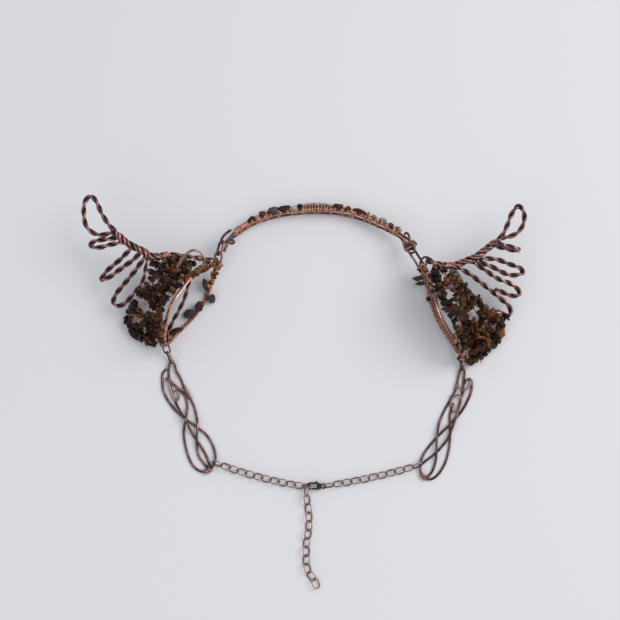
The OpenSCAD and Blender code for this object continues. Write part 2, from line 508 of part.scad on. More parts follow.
// The extension hangs on the ring's raised edge and comes down on the surface
ring_front = ring_centre + [0, -ring_r * cos(60), ring_r * sin(60)];
function tail_z(i) = max(2, ring_front[2] - 1.4 * i);
function tail_point(i) = i == 0 ? ring_front + [0, 0.5, 0] : tail_point(i - 1)
    + [tail_pitch * cos(tail_headings[i - 1]), tail_pitch * sin(tail_headings[i - 1]), 0];
module extension_chain() color(chain_copper)
    chain([for (i = [0 : len(tail_headings)]) let (p = tail_point(i)) [p[0], p[1], tail_z(i)]], 64, -24);

module clasp_ring() color(chain_copper) translate(ring_centre) rotate([ring_roll, 0, 0])
    rotate_extrude() translate([ring_r, 0]) circle(d = ring_wire_d);

// Plan of the hook: a rounded blank with a long hole, open where the lever closes it
module hook_plan() {
    tip = hook_length - hook_back - hook_width / 2;
    difference() {
        union() {
            translate([tip, 0]) circle(d = hook_width, $fn = 48);
            translate([0, -hook_width / 2]) square([tip, hook_width]);
            translate([-hook_back, -hook_width / 2 + 0.5]) square([hook_back + 1, hook_width - 1]);
        }
        translate([tip, 0]) circle(d = hook_width - 2 * hook_wall, $fn = 48);
        translate([0.9, -hook_width / 2 + hook_wall])
            square([tip - 0.9, hook_width - 2 * hook_wall]);
        translate([0.9, -hook_width]) square([lever_length - 0.9 + play, hook_width]);
    }
}
module clasp_hook() color(chain_copper) {
    translate(clasp_axis) mirror([1, 0, 0]) {
        difference() {
            translate([0, 0, -hook_thick / 2]) linear_extrude(height = hook_thick) hook_plan();
            translate([-0.85, -hook_width, -0.45]) cube([2.6, 2 * hook_width, 0.9]);
        }
        translate([0, lever_offset, -hook_thick / 2 + 0.1])
            cylinder(d = pin_d, h = hook_thick - 0.2);
    }
    translate(eye_centre) rotate_extrude() translate([eye_r, 0]) circle(d = ring_wire_d);
}
// The lever turns on the pin. Its bar closes the hook, and its thumb piece stands out at the back.
module clasp_lever() color(chain_copper) translate(clasp_axis) mirror([1, 0, 0])
    translate([0, lever_offset, -0.35]) difference() {
        linear_extrude(height = 0.7) {
            circle(d = lever_eye_d);
            translate([0, -lever_w / 2]) square([lever_length - lever_w / 2, lever_w]);
            translate([lever_length - lever_w / 2, 0]) circle(d = lever_w);
            polygon([[-0.5, 0.2], [0.6, 0.2], [1.5, 4.3], [0.7, 4.5]]);
            translate([1.1, 4.4]) circle(d = 0.82);
        }
        translate([0, 0, -1]) cylinder(d = pin_hole_d, h = 3);
    }

band_upper_wire();
band_lower_wire();
band_thread();
band_chips();
left_shoulder_links();
right_shoulder_link();
left_ear_loop();
right_ear_loop();
left_spine();
right_spine();
left_feather_2();
left_feather_3();
left_feather_4();
right_feather_2();
right_feather_3();
right_feather_4();
right_feather_5();
left_strut();
right_strut();
left_net_wires();
right_net_wires();
left_net_chips();
right_net_chips();
left_loop_chips();
right_loop_chips();
left_drop_links();
right_drop_links();
left_knot_wire();
left_knot_ring();
right_knot_wire();
right_knot_ring();
left_chain();
right_chain();
extension_chain();
clasp_ring();
clasp_hook();
clasp_lever();
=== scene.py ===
import math

import bmesh
import bpy
import numpy as np
from mathutils import Euler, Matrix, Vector, geometry


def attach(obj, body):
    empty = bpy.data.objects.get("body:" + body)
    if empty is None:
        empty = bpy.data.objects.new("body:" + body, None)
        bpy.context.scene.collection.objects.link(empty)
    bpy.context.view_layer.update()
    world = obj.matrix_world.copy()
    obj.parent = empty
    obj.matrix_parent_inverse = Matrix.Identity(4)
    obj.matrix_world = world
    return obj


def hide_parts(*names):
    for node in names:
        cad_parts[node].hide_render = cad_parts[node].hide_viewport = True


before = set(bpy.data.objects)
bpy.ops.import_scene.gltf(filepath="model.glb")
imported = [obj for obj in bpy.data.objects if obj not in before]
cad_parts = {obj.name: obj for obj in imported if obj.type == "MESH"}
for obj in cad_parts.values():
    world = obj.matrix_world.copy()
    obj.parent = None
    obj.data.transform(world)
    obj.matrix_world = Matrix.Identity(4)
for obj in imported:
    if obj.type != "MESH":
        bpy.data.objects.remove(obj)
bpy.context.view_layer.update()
scene = bpy.context.scene

# The surface, the camera and the light
# The diadem lies on a pale blue-grey cloth. The camera looks down on it from over the extension
# chain, and soft daylight comes in from the right.
mm = 0.001


def linear(red, green, blue):
    """A colour given as it looks, from 0 to 255, as the shaders need it."""
    parts = []
    for value in (red, green, blue):
        v = value / 255
        parts.append(v / 12.92 if v <= 0.04045 else ((v + 0.055) / 1.055) ** 2.4)
    return (*parts, 1)


def new_material(name):
    """A material with its shader, and the calls that add a node and a link to it."""
    material = bpy.data.materials.new(name)
    material.use_nodes = True
    nodes = material.node_tree.nodes
    return material, nodes, material.node_tree.links, nodes["Principled BSDF"]


def look_from(thing, place, target):
    """Puts a camera or a lamp at a place in millimetres, facing another."""
    thing.location = Vector(place) * mm
    thing.rotation_euler = (Vector(target) - Vector(place)).to_track_quat("-Z", "Y").to_euler()
    scene.collection.objects.link(thing)


camera = bpy.data.objects.new("camera", bpy.data.cameras.new("camera"))
camera.data.lens = 74.9
camera.data.sensor_width = 36
look_from(camera, (3.68, -87.55, 787.85), (3.68, 51.37, 0))
scene.camera = camera

daylight = bpy.data.lights.new("daylight", "AREA")
daylight.shape = "RECTANGLE"
daylight.size = 1.2
daylight.size_y = 1.3
daylight.energy = 18
daylight.color = (1, 0.97, 0.94)
look_from(bpy.data.objects.new("daylight", daylight), (1150, 440, 1450), (0, 20, 0))
sky_light = bpy.data.lights.new("sky_light", "AREA")
sky_light.size = 0.9
sky_light.energy = 2
sky_light.color = (0.9, 0.95, 1)
look_from(bpy.data.objects.new("sky_light", sky_light), (-500, -500, 900), (0, 0, 0))
room = bpy.data.worlds.new("room")
room.use_nodes = True
room.node_tree.nodes["Background"].inputs["Color"].default_value = (0.955, 0.965, 1, 1)
room.node_tree.nodes["Background"].inputs["Strength"].default_value = 0.5
scene.world = room
scene.view_settings.view_transform = "Standard"
scene.view_settings.look = "None"

cloth_mesh = bpy.data.meshes.new("cloth")
cloth_reach = 2.5
cloth_mesh.from_pydata([(-cloth_reach, -cloth_reach, 0), (cloth_reach, -cloth_reach, 0),
                        (cloth_reach, cloth_reach, 0), (-cloth_reach, cloth_reach, 0)], [], [(0, 1, 2, 3)])
cloth = bpy.data.objects.new("cloth", cloth_mesh)
scene.collection.objects.link(cloth)
pale_cloth, nodes, links, shader = new_material("pale_cloth")
shader.inputs["Base Color"].default_value = linear(231, 232, 237)
shader.inputs["Roughness"].default_value = 0.95
cloth_mesh.materials.append(pale_cloth)

# The two wires of the front band
# Each is one length of round copper wire, 1.4 mm thick, darkened and then rubbed bright again on
# its ridges. The upper one ends in a hook and an eye, and the lower one in two small curls.
upper_route = [
    [-45, 98.7, 15], [-46.9, 97.4, 15], [-48.9, 95.7, 14.6], [-50.5, 93.5, 14.2],
    [-51.1, 91.6, 13.8], [-50.2, 90.4, 13.5], [-48.8, 91, 13.2], [-46.6, 93.4, 12.8],
    [-42.2, 98.8, 11.4], [-36.9, 102.8, 10.3], [-29.8, 106.4, 9.4], [-22.3, 109.2, 9],
    [-15.4, 111, 8.8], [-6.7, 112.5, 8.8], [2.3, 113.2, 8.8], [11.4, 113.4, 8.8],
    [20.3, 113, 8.8], [29.2, 111.6, 8.8], [40.3, 107.7, 9.2], [49.1, 103.4, 10],
    [57.9, 97.9, 11.5], [63.2, 94.1, 12.8], [66.2, 91, 13.5], [67.8, 88, 13.6],
    [67.8, 85.8, 13.5], [66.4, 84.6, 13.2], [64.6, 85, 12.8], [63.2, 87, 12.6], [62.4, 89.4, 12.6],
    [61.8, 91.4, 12.8]
]
lower_route = [
    [-44.9, 93.2, 10.6], [-43.5, 93, 10.5], [-43.1, 92, 10.4], [-44.6, 91.2, 10.2],
    [-46.4, 91.9, 10.2], [-46, 93.8, 10.2], [-42, 96.6, 9.4], [-36, 101.6, 7], [-29, 106, 4.2], [-22, 109, 2],
    [-15, 111.1, 0.9], [-2.5, 112.8, 0.8], [10, 113.2, 0.8], [22.5, 112.2, 0.8],
    [35, 109, 1.4], [47.4, 103, 4.4], [55.7, 97.8, 8.6], [59.6, 94.8, 10.2],
    [61.3, 92.4, 10.7], [62.9, 91.2, 11], [64.7, 92.2, 11], [65.1, 94.2, 11.2], [64.7, 96.2, 11.4],
    [63.5, 97.7, 11.6], [62.1, 97, 11.6]
]
heavy_wire = 1.4
band_wire = 1.6
surface_gap = 0.02


def unit(v):
    return v / np.linalg.norm(v)


def smooth_route(points, steps=6, closed=False):
    """One smooth curve through a route's points, the same as the solids follow."""
    p = np.array(points, float)
    n = len(p)
    curve = []
    for i in range(n if closed else n - 1):
        near = [(i + k) % n if closed else min(max(i + k, 0), n - 1) for k in (-1, 0, 1, 2)]
        a, b, c, d = p[near]
        for t in np.arange(steps) / steps:
            curve.append((2 * b + (c - a) * t + (2 * a - 5 * b + 4 * c - d) * t ** 2
                          + (3 * b - a - 3 * c + d) * t ** 3) / 2)
    curve.append(p[0] if closed else p[-1])
    return np.array(curve)


def distances(curve):
    return np.concatenate([[0], np.cumsum(np.linalg.norm(np.diff(curve, axis=0), axis=1))])


def points_at(curve, along):
    """Points of a curve at distances along it."""
    s = distances(curve)
    return np.stack([np.interp(along, s, curve[:, k]) for k in range(3)], axis=1)


def even(curve, step):
    whole = distances(curve)[-1]
    return points_at(curve, np.linspace(0, whole, max(1, round(whole / step)) + 1))


def sideways(p, up=(0, 0, 1)):
    """Heading and two sideways directions along a curve, carried on without twisting."""
    heading = np.gradient(p, axis=0)
    heading /= np.linalg.norm(heading, axis=1)[:, None]
    if abs(heading[0] @ up) > 0.98:
        up = (1, 0, 0)
    u = unit(np.cross(up, heading[0]))
    us = []
    for t in heading:
        u = unit(u - t * (u @ t))
        us.append(u)
    us = np.array(us)
    return heading, us, np.cross(heading, us)


def tube(points, radius, sides=12, normal=None, outward=None):
    """A round wire along points. A closed one has the normal of its plane, and its last point
    repeats the first. Outward is the way that its rubbed side faces."""
    p = np.array(points, float)
    r = np.broadcast_to(np.asarray(radius, float), (len(p),)).copy()
    out = None if outward is None else np.array(outward, float)
    if normal is None:
        # A cut end is rounded in two steps, given in shares of the radius
        tip, tip_thick, neck, neck_thick = 0.5, 0.55, 0.32, 0.88
        first, last = unit(p[0] - p[1]) * r[0], unit(p[-1] - p[-2]) * r[-1]
        p = np.vstack([p[0] + first * tip, p[0] + first * neck, p,
                       p[-1] + last * neck, p[-1] + last * tip])
        r = np.concatenate([[r[0] * tip_thick, r[0] * neck_thick], r,
                            [r[-1] * neck_thick, r[-1] * tip_thick]])
        if out is not None:
            out = np.vstack([out[:1], out[:1], out, out[-1:], out[-1:]])
        heading, u, v = sideways(p)
    else:
        p, r = p[:-1], r[:-1]
        out = None if out is None else out[:-1]
        heading = np.roll(p, -1, 0) - np.roll(p, 1, 0)
        heading /= np.linalg.norm(heading, axis=1)[:, None]
        u = np.cross(normal, heading)
        u /= np.linalg.norm(u, axis=1)[:, None]
        v = np.cross(heading, u)
    m = len(p)
    a = 2 * np.pi * np.arange(sides) / sides
    round_it = np.cos(a)[None, :, None] * u[:, None] + np.sin(a)[None, :, None] * v[:, None]
    verts = (p[:, None] + r[:, None, None] * round_it).reshape(-1, 3)
    s = distances(p)
    lay = np.stack(np.broadcast_arrays(np.cos(a)[None], np.sin(a)[None], s[:, None]), axis=2)
    if out is None:
        rub = np.full(m * sides, 0.5)
    else:
        rub = 0.5 + 0.5 * (round_it * out[:, None]).sum(axis=2).reshape(-1)
    rings = m - 1 if normal is None else m
    i, j = np.meshgrid(np.arange(rings), np.arange(sides), indexing="ij")
    next_i, next_j = (i + 1) % m, (j + 1) % sides
    faces = np.stack([i * sides + j, i * sides + next_j, next_i * sides + next_j, next_i * sides + j], axis=2)
    faces = faces.reshape(-1, 4).tolist()
    if normal is None:
        faces.append(list(range(sides - 1, -1, -1)))
        faces.append([(m - 1) * sides + n for n in range(sides)])
    return verts, faces, lay.reshape(-1, 3), rub


def wire_piece(name, tubes, finish):
    """One object from several tubes, with how each point lies on its wire and how much it is
    rubbed kept for its finish."""
    verts, faces, lays, rubs = [], [], [], []
    start, lay_step = 0, 0.37
    for t_verts, t_faces, t_lay, t_rub in tubes:
        verts.append(t_verts)
        faces += [[start + n for n in face] for face in t_faces]
        lays.append(t_lay + [0, 0, start * lay_step])
        rubs.append(t_rub)
        start += len(t_verts)
    mesh = bpy.data.meshes.new(name)
    mesh.from_pydata((np.vstack(verts) * mm).tolist(), [], faces)
    mesh.attributes.new("lay", "FLOAT_VECTOR", "POINT").data.foreach_set("vector", np.vstack(lays).ravel())
    mesh.attributes.new("rub", "FLOAT", "POINT").data.foreach_set("value", np.concatenate(rubs))
    mesh.shade_smooth()
    mesh.materials.append(finish)
    piece = bpy.data.objects.new(name, mesh)
    scene.collection.objects.link(piece)
    return piece


def effect_group(name, inputs, outputs):
    """A node group for an effect that several finishes share, with its two end nodes."""
    group = bpy.data.node_groups.new(name, "ShaderNodeTree")
    for label, (kind, value) in inputs.items():
        socket = group.interface.new_socket(label, in_out="INPUT", socket_type="NodeSocket" + kind)
        socket.default_value = value
    for label, kind in outputs.items():
        group.interface.new_socket(label, in_out="OUTPUT", socket_type="NodeSocket" + kind)
    return group, group.nodes.new("NodeGroupInput"), group.nodes.new("NodeGroupOutput")


def add_node(nodes, kind, **settings):
    """A shader node: settings in lower case are its own, and the others are its inputs."""
    node = nodes.new("ShaderNode" + kind)
    for label, value in settings.items():
        if label[0].islower():
            setattr(node, label, value)
        else:
            node.inputs[label.replace("_", " ")].default_value = value
    return node


# Patina: dark in the hollows, bright on rubbed ridges, blotched where the finish has worn
patina, start, end = effect_group(
    "patina",
    {"Rub": ("Float", 0.5), "Dark": ("Color", (0, 0, 0, 1)), "Bright": ("Color", (1, 1, 1, 1)),
     "Wear": ("Float", 0.5), "Blotch Size": ("Float", 300)},
    {"Color": "Color", "Roughness": "Float", "Height": "Float"})
where = add_node(patina.nodes, "TexCoord")
blotches = add_node(patina.nodes, "TexNoise", Detail=3, Roughness=0.6)
specks = add_node(patina.nodes, "TexNoise", Scale=2600, Detail=2)
rub_strength, blotch_strength = 0.9, 1.1
worn = add_node(patina.nodes, "Math", operation="MULTIPLY_ADD")
worn.inputs[1].default_value = rub_strength
blotched = add_node(patina.nodes, "Math", operation="MULTIPLY_ADD")
blotched.inputs[1].default_value = blotch_strength
limit = add_node(patina.nodes, "MapRange", interpolation_type="SMOOTHSTEP", From_Min=0.75, From_Max=1.55)
colour = add_node(patina.nodes, "Mix", data_type="RGBA")
dulled = add_node(patina.nodes, "MapRange", To_Min=0.36, To_Max=0.22)
for source, target in (
        (where.outputs["Object"], blotches.inputs["Vector"]),
        (where.outputs["Object"], specks.inputs["Vector"]),
        (start.outputs["Blotch Size"], blotches.inputs["Scale"]),
        (start.outputs["Rub"], worn.inputs[0]), (start.outputs["Wear"], worn.inputs[2]),
        (blotches.outputs["Fac"], blotched.inputs[0]), (worn.outputs[0], blotched.inputs[2]),
        (blotched.outputs[0], limit.inputs["Value"]), (limit.outputs["Result"], colour.inputs["Factor"]),
        (start.outputs["Dark"], colour.inputs[6]), (start.outputs["Bright"], colour.inputs[7]),
        (limit.outputs["Result"], dulled.inputs["Value"]),
        (colour.outputs[2], end.inputs["Color"]), (dulled.outputs["Result"], end.inputs["Roughness"]),
        (specks.outputs["Fac"], end.inputs["Height"])):
    patina.links.new(source, target)

# Drawn lines: the fine scratches that run along a wire
drawn, start, end = effect_group("drawn_lines", {"Lay": ("Vector", (0, 0, 0))}, {"Height": "Float"})
stretch = add_node(drawn.nodes, "VectorMath", operation="MULTIPLY")
stretch.inputs[1].default_value = (1, 1, 0.12)
streaks = add_node(drawn.nodes, "TexNoise", Scale=5, Detail=3, Roughness=0.65)
drawn.links.new(start.outputs["Lay"], stretch.inputs[0])
drawn.links.new(stretch.outputs[0], streaks.inputs["Vector"])
drawn.links.new(streaks.outputs["Fac"], end.inputs["Height"])


def copper_finish(name, dark, bright, wear, blotch_size, lines=True):
    """A copper finish from the patina, and the drawn lines where it is wire."""
    material, nodes, links, shader = new_material(name)
    worn_look = add_node(nodes, "Group", node_tree=patina)
    for label, value in (("Dark", linear(*dark)), ("Bright", linear(*bright)), ("Wear", wear),
                         ("Blotch Size", blotch_size)):
        worn_look.inputs[label].default_value = value
    rub = add_node(nodes, "Attribute", attribute_name="rub")
    links.new(rub.outputs["Fac"], worn_look.inputs["Rub"])
    links.new(worn_look.outputs["Color"], shader.inputs["Base Color"])
    links.new(worn_look.outputs["Roughness"], shader.inputs["Roughness"])
    shader.inputs["Metallic"].default_value = 1
    shader.inputs["Coat Weight"].default_value = 0.9
    shader.inputs["Coat Roughness"].default_value = 0.12
    pits = add_node(nodes, "Bump", Strength=0.25, Distance=0.00003)
    links.new(worn_look.outputs["Height"], pits.inputs["Height"])
    if lines:
        lay = add_node(nodes, "Attribute", attribute_name="lay")
        scratched = add_node(nodes, "Group", node_tree=drawn)
        scratches = add_node(nodes, "Bump", Strength=0.35, Distance=0.00004)
        links.new(lay.outputs["Vector"], scratched.inputs["Lay"])
        links.new(scratched.outputs["Height"], scratches.inputs["Height"])
        links.new(scratches.outputs["Normal"], pits.inputs["Normal"])
    links.new(pits.outputs["Normal"], shader.inputs["Normal"])
    return material


def lying(route, lowest):
    """A route as an even line that doesn't pass under the surface."""
    curve = even(smooth_route(route, 12), 0.7)
    curve[:, 2] = np.maximum(curve[:, 2], lowest)
    return curve


antique_copper = copper_finish("antique_copper", (70, 39, 39), (218, 158, 146), wear=-0.13, blotch_size=260)
for name, node, route in (("upper_band_wire", "band_upper_wire", upper_route),
                          ("lower_band_wire", "band_lower_wire", lower_route)):
    line = lying(route, band_wire / 2 + surface_gap)
    piece = wire_piece(name, [tube(line, band_wire / 2, 16)], antique_copper)
    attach(piece, "diadem")
    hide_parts(node)

# The thin wire that binds the band
# Copper wire, 0.45 mm thick. It carries the band's stones, passes round the heavy wires between
# them, and is wound closely at the left end and, over two filling wires, in the middle.
band_row = [
    [-43.4, 99.4, 14], [-38.2, 104.2, 8.4], [-32.9, 108, 5.6], [-26, 111.6, 5],
    [-19.3, 114, 4.8], [-12.1, 115.2, 4.8], [-2.7, 116.6, 4.8], [9, 117, 4.8],
    [20.6, 116, 4.8], [27.1, 114.9, 4.8], [34.5, 113, 4.8], [42, 110, 5.4],
    [48.7, 106.8, 6.4], [54, 103.8, 7.4], [59.2, 100.6, 8.6]
]
binding_wire = 0.45


def wound(curve, first, last, pitch, reach, seed=0):
    """A thin wire wound round a curve between two distances along it, a little unevenly."""
    turns = abs(last - first) / pitch
    steps_a_turn = 12
    n = max(4, int(turns * steps_a_turn))
    a = 2 * np.pi * turns * np.arange(n + 1) / n
    along = np.linspace(first, last, n + 1)
    along = along + 0.22 * pitch * np.sin(a * 0.31 + seed) * np.sin(a * 0.083 + 2 * seed)
    base = points_at(curve, along)
    fine = points_at(curve, np.linspace(first, last, max(8, n // 3)))
    _, u, v = sideways(fine)
    at = np.linspace(0, len(fine) - 1, n + 1)
    u = np.stack([np.interp(at, np.arange(len(fine)), u[:, k]) for k in range(3)], axis=1)
    v = np.stack([np.interp(at, np.arange(len(fine)), v[:, k]) for k in range(3)], axis=1)
    out = np.cos(a + seed)[:, None] * u + np.sin(a + seed)[:, None] * v
    swell = reach * (1 + 0.04 * np.sin(a * 0.47 + seed * 3))
    return base + swell[:, None] * out, out


def wrapped(centres, radii, axis, turns, pitch, thin, seed=0):
    """A thin wire wrapped tightly round wires or stones that lie side by side."""
    centres = np.array(centres, float)
    middle = centres.mean(axis=0)
    axis = unit(np.array(axis, float))
    aside = (0.31, 0.27, 0.91)
    steps_a_turn = 24
    u = unit(np.cross(axis, aside))
    v = np.cross(axis, u)
    flat = []
    for centre, r in zip(centres, np.broadcast_to(radii, len(centres))):
        x, y = (centre - middle) @ u, (centre - middle) @ v
        for a in np.linspace(0, 2 * np.pi, steps_a_turn, endpoint=False):
            flat.append(Vector((x + (r + thin / 2) * math.cos(a), y + (r + thin / 2) * math.sin(a))))
    ring = np.array([[*flat[k], 0] for k in geometry.convex_hull_2d(flat)])
    ring = np.vstack([ring, ring[:1]])
    ring = even(ring, distances(ring)[-1] / steps_a_turn)[:-1]
    k = np.arange(int(steps_a_turn * turns) + 1)
    at = ring[(k + int(seed * 5)) % len(ring)]
    lift = pitch * (k / steps_a_turn - turns / 2) + 0.12 * pitch * np.sin(k * 0.21 + seed)
    out = at[:, :1] * u + at[:, 1:2] * v
    points = middle + at[:, :1] * u + at[:, 1:2] * v + lift[:, None] * axis
    return points, out / np.linalg.norm(out, axis=1)[:, None]


def thin_tube(path, diameter, sides=7):
    """A thin wire from a winding's path. Where it passes under a wire that lies on the surface, it
    is pressed flat against it."""
    points, out = path
    points[:, 2] = np.maximum(points[:, 2], diameter / 2)
    return tube(points, diameter / 2, sides, outward=out)


bright_copper = copper_finish("bright_copper", (86, 47, 38), (230, 156, 122), wear=0.12, blotch_size=420)
upper_curve = even(smooth_route(upper_route, 12), 0.5)
lower_curve = even(smooth_route(lower_route, 12), 0.5)
stone_line = even(smooth_route(band_row, 6), 1)


def at_place(curve, x, first, last):
    """The point at a place across the band, between two shares of a curve that runs to the right."""
    inner = curve[int(first * len(curve)):int(last * len(curve))]
    return np.array([np.interp(x, inner[:, 0], inner[:, k]) for k in range(3)])


def band_places(x):
    """The upper wire, the lower wire and the stones' thread at a place across the band."""
    return (at_place(upper_curve, x, 0.14, 0.86), at_place(lower_curve, x, 0.1, 0.88),
            at_place(stone_line, x, 0, 1))


def band_heading(x, wire=0):
    """The way that the upper wire runs at a place across the band, or the lower one as wire 1."""
    return band_places(x + 0.5)[wire] - band_places(x)[wire]


bindings = [tube(stone_line, binding_wire / 2, 8)]
tied_at = [-40.4, -36, -29.6, -27.8, -23.4, -15.4, -7.6, -5, -0.4, 17, 24.2, 29.8, 31, 38, 41.8,
           45.6, 51.6, 56.2, 58.6]
for count, x in enumerate(tied_at):
    upper, lower, stones = band_places(x)
    bound = [upper, lower] if -20 < x < 50 and count % 2 else [upper, lower, stones]
    path = wrapped(bound, [heavy_wire / 2, heavy_wire / 2, 0.3][:len(bound)], band_heading(x),
                   turns=2.2 + count % 3 * 0.5, pitch=0.62, thin=binding_wire, seed=count)
    bindings.append(thin_tube(path, binding_wire))
for first, last, step in ((-17, -1, 2.3), (1, 16, 2.6), (17, 46, 2.1), (-34, -18, 1.9), (46, 58, 2)):
    for count, x in enumerate(np.arange(first, last, step)):
        wire = 0 if count % 2 else 1
        path = wrapped([band_places(x)[wire]], heavy_wire / 2, band_heading(x, wire),
                       turns=1.2 + count % 2, pitch=0.5, thin=binding_wire, seed=count)
        bindings.append(thin_tube(path, binding_wire))

# In the middle only a few turns go round the lower wire, and two of three are darkened
middle_first, middle_last = -0.6, 17
middle_turns = []
for count, x in enumerate(np.arange(middle_first, middle_last, 0.62)):
    upper, lower, stones = band_places(x)
    hump = 0.5 * math.sin(math.pi * (x - middle_first) / (middle_last - middle_first))
    bound = [upper, lower if 6.4 < x < 9.8 else (upper + lower) / 2,
             stones + np.array([0, hump - 0.2 + 0.12 * (count % 3), 0.8])]
    ahead = band_heading(x) + np.array([0, 0.1 * (count % 2), 0.1 * (count % 3)])
    path = wrapped(bound, [heavy_wire / 2, heavy_wire / 2, 0.7 + 0.1 * (count % 2)], ahead,
                   turns=1.06, pitch=0.66, thin=binding_wire, seed=0.2 * (count % 3))
    (bindings if count % 3 == 0 else middle_turns).append(thin_tube(path, binding_wire))
filling_wire = 1.44
for part_way in (0.3, 0.75):
    filling = []
    for x in np.arange(-0.4, 17, 1.7):
        upper, _, stones = band_places(x)
        filling.append(upper + (stones - upper) * part_way + [0, 0, 0.4])
    middle_turns.append(tube(smooth_route(filling, 4), filling_wire / 2, 10))
for x, size, seed in ((-41.9, 1.6, 1), (-38.2, 2, 2), (-36.2, 1.7, 3)):
    upper, half = band_places(x)[0], unit(band_heading(x)) * 1.7
    path = wound(np.array([upper - half, upper, upper + half]), first=0.2, last=3.2, pitch=0.42,
                 reach=heavy_wire / 2 + 0.3 + 0.12 * size, seed=seed)
    bindings.append(thin_tube(path, binding_wire))
for name, tubes, finish, slot in (("band_binding", bindings, bright_copper, "bright_copper"),
                                  ("band_middle_winding", middle_turns, antique_copper, "antique_copper")):
    piece = wire_piece(name, tubes, finish)
    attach(piece, "diadem")
    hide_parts("band_thread")

# The band's third wire
# Heavy copper wire with a lighter finish than the others, partly rubbed bright and partly a painted
# highlight for the bright streak along the band. It lies between them, where the binding holds it,
# and runs on to the right shoulder.
rubbed_and_highlight_copper = copper_finish("rubbed_and_highlight_copper", (104, 60, 50), (234, 176, 150), wear=0.38, blotch_size=240)
core = []
for x in np.arange(-38.5, 58.5, 1):
    upper, lower, _ = band_places(x)
    core.append((upper + lower) / 2 + np.array([0, 0.35 + 0.25 * math.sin(x * 0.3), 0]))
core += [np.array(point) for point in
         ([60.2, 95.6, 11.3], [61.8, 93.8, 11.8], [63, 91.4, 12], [63.6, 89.4, 12])]
piece = wire_piece("band_core_wire", [tube(core, heavy_wire / 2, 12)], rubbed_and_highlight_copper)
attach(piece, "diadem")
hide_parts("band_thread")

# The band's stones
# Tumbled chips of tiger-eye, agate and jasper, drilled lengthways and strung on the binding wire.
# Each is ground round at its edges and polished, and keeps the flats that it was broken with.
ball = bmesh.new()
bmesh.ops.create_icosphere(ball, subdivisions=4, radius=1)
ball_points = np.array([v.co[:] for v in ball.verts])
ball_faces = [[v.index for v in face.verts] for face in ball.faces]
ball.free()


def solid_parts(node):
    """The corners of each loose solid of a CAD node, in millimetres."""
    shape = bmesh.new()
    shape.from_mesh(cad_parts[node].data)
    bmesh.ops.remove_doubles(shape, verts=shape.verts, dist=0.000002)
    parts, seen = [], set()
    for vert in shape.verts:
        if vert in seen:
            continue
        seen.add(vert)
        stack, part = [vert], []
        while stack:
            near = stack.pop()
            part.append(near.co / mm)
            for edge in near.link_edges:
                other = edge.other_vert(near)
                if other not in seen:
                    seen.add(other)
                    stack.append(other)
        parts.append(np.array(part))
    shape.free()
    return parts


def tumbled(corners, seed, polish, size):
    """A chip of stone that fills the space between corners, with its flats kept and its edges
    ground round: less so with a higher polish number."""
    middle = (corners.min(axis=0) + corners.max(axis=0)) / 2
    local = corners - middle
    _, axes = np.linalg.eigh(local.T @ local)
    axes = axes.T[::-1]
    inner = local @ axes.T
    middle = middle + ((inner.min(axis=0) + inner.max(axis=0)) / 2) @ axes
    local = corners - middle
    extents = np.abs(local @ axes.T).max(axis=0)
    hull = bmesh.new()
    for corner in local:
        hull.verts.new(corner)
    bmesh.ops.convex_hull(hull, input=hull.verts)
    hull.normal_update()
    least_flat, least_reach = 0.02, 0.3
    flats = {}
    for face in hull.faces:
        n = np.array(face.normal)
        if face.calc_area() < least_flat:
            continue
        key = tuple(np.round(n * 5).astype(int))
        reach = float(max(n @ np.array(v.co) for v in face.verts))
        if key not in flats or flats[key][1] < reach:
            flats[key] = (n, reach)
    hull.free()
    normals = np.array([f[0] for f in flats.values()])
    reaches = np.maximum(np.array([f[1] for f in flats.values()]), least_reach)
    figure = ball_points * extents
    figure /= np.linalg.norm(figure, axis=1)[:, None]
    ways = figure @ axes
    r = (np.maximum(ways @ normals.T / reaches, 0) ** polish).sum(axis=1) ** (-1 / polish)
    rng = np.random.default_rng(seed)
    for scale, depth in ((1.1, 0.03), (2.3, 0.018)):
        waves = rng.normal(size=(3, 3)) * scale
        phase = rng.uniform(0, 6.28, 3)
        r = r * (1 + depth * np.sin((ways * r[:, None]) @ waves.T + phase).mean(axis=1))
    return middle + ways * r[:, None] * size, figure * r[:, None] + rng.uniform(-40, 40, 3), ball_faces


def chip_corners(middle, length, width, thick, rng, lie=None):
    """Corners of a broken chip of stone about a middle point, lying any way or as it is told."""
    a = np.radians(np.arange(0, 360, 60) + rng.uniform(-22, 22, 6))
    ring = np.stack([np.cos(a) * length / 2 * rng.uniform(0.75, 1, 6),
                     np.sin(a) * width / 2 * rng.uniform(0.7, 1, 6)], axis=1)
    high = np.column_stack([ring * rng.uniform(0.6, 1, (6, 1)), thick / 2 * rng.uniform(0.5, 1, 6)])
    low = np.column_stack([ring * rng.uniform(0.6, 1, (6, 1)), -thick / 2 * rng.uniform(0.5, 1, 6)])
    spun = np.array(Euler(rng.uniform(0, 6.28, 3)).to_matrix()) if lie is None else np.array(lie).T
    return np.array(middle) + np.vstack([high, low]) @ spun.T


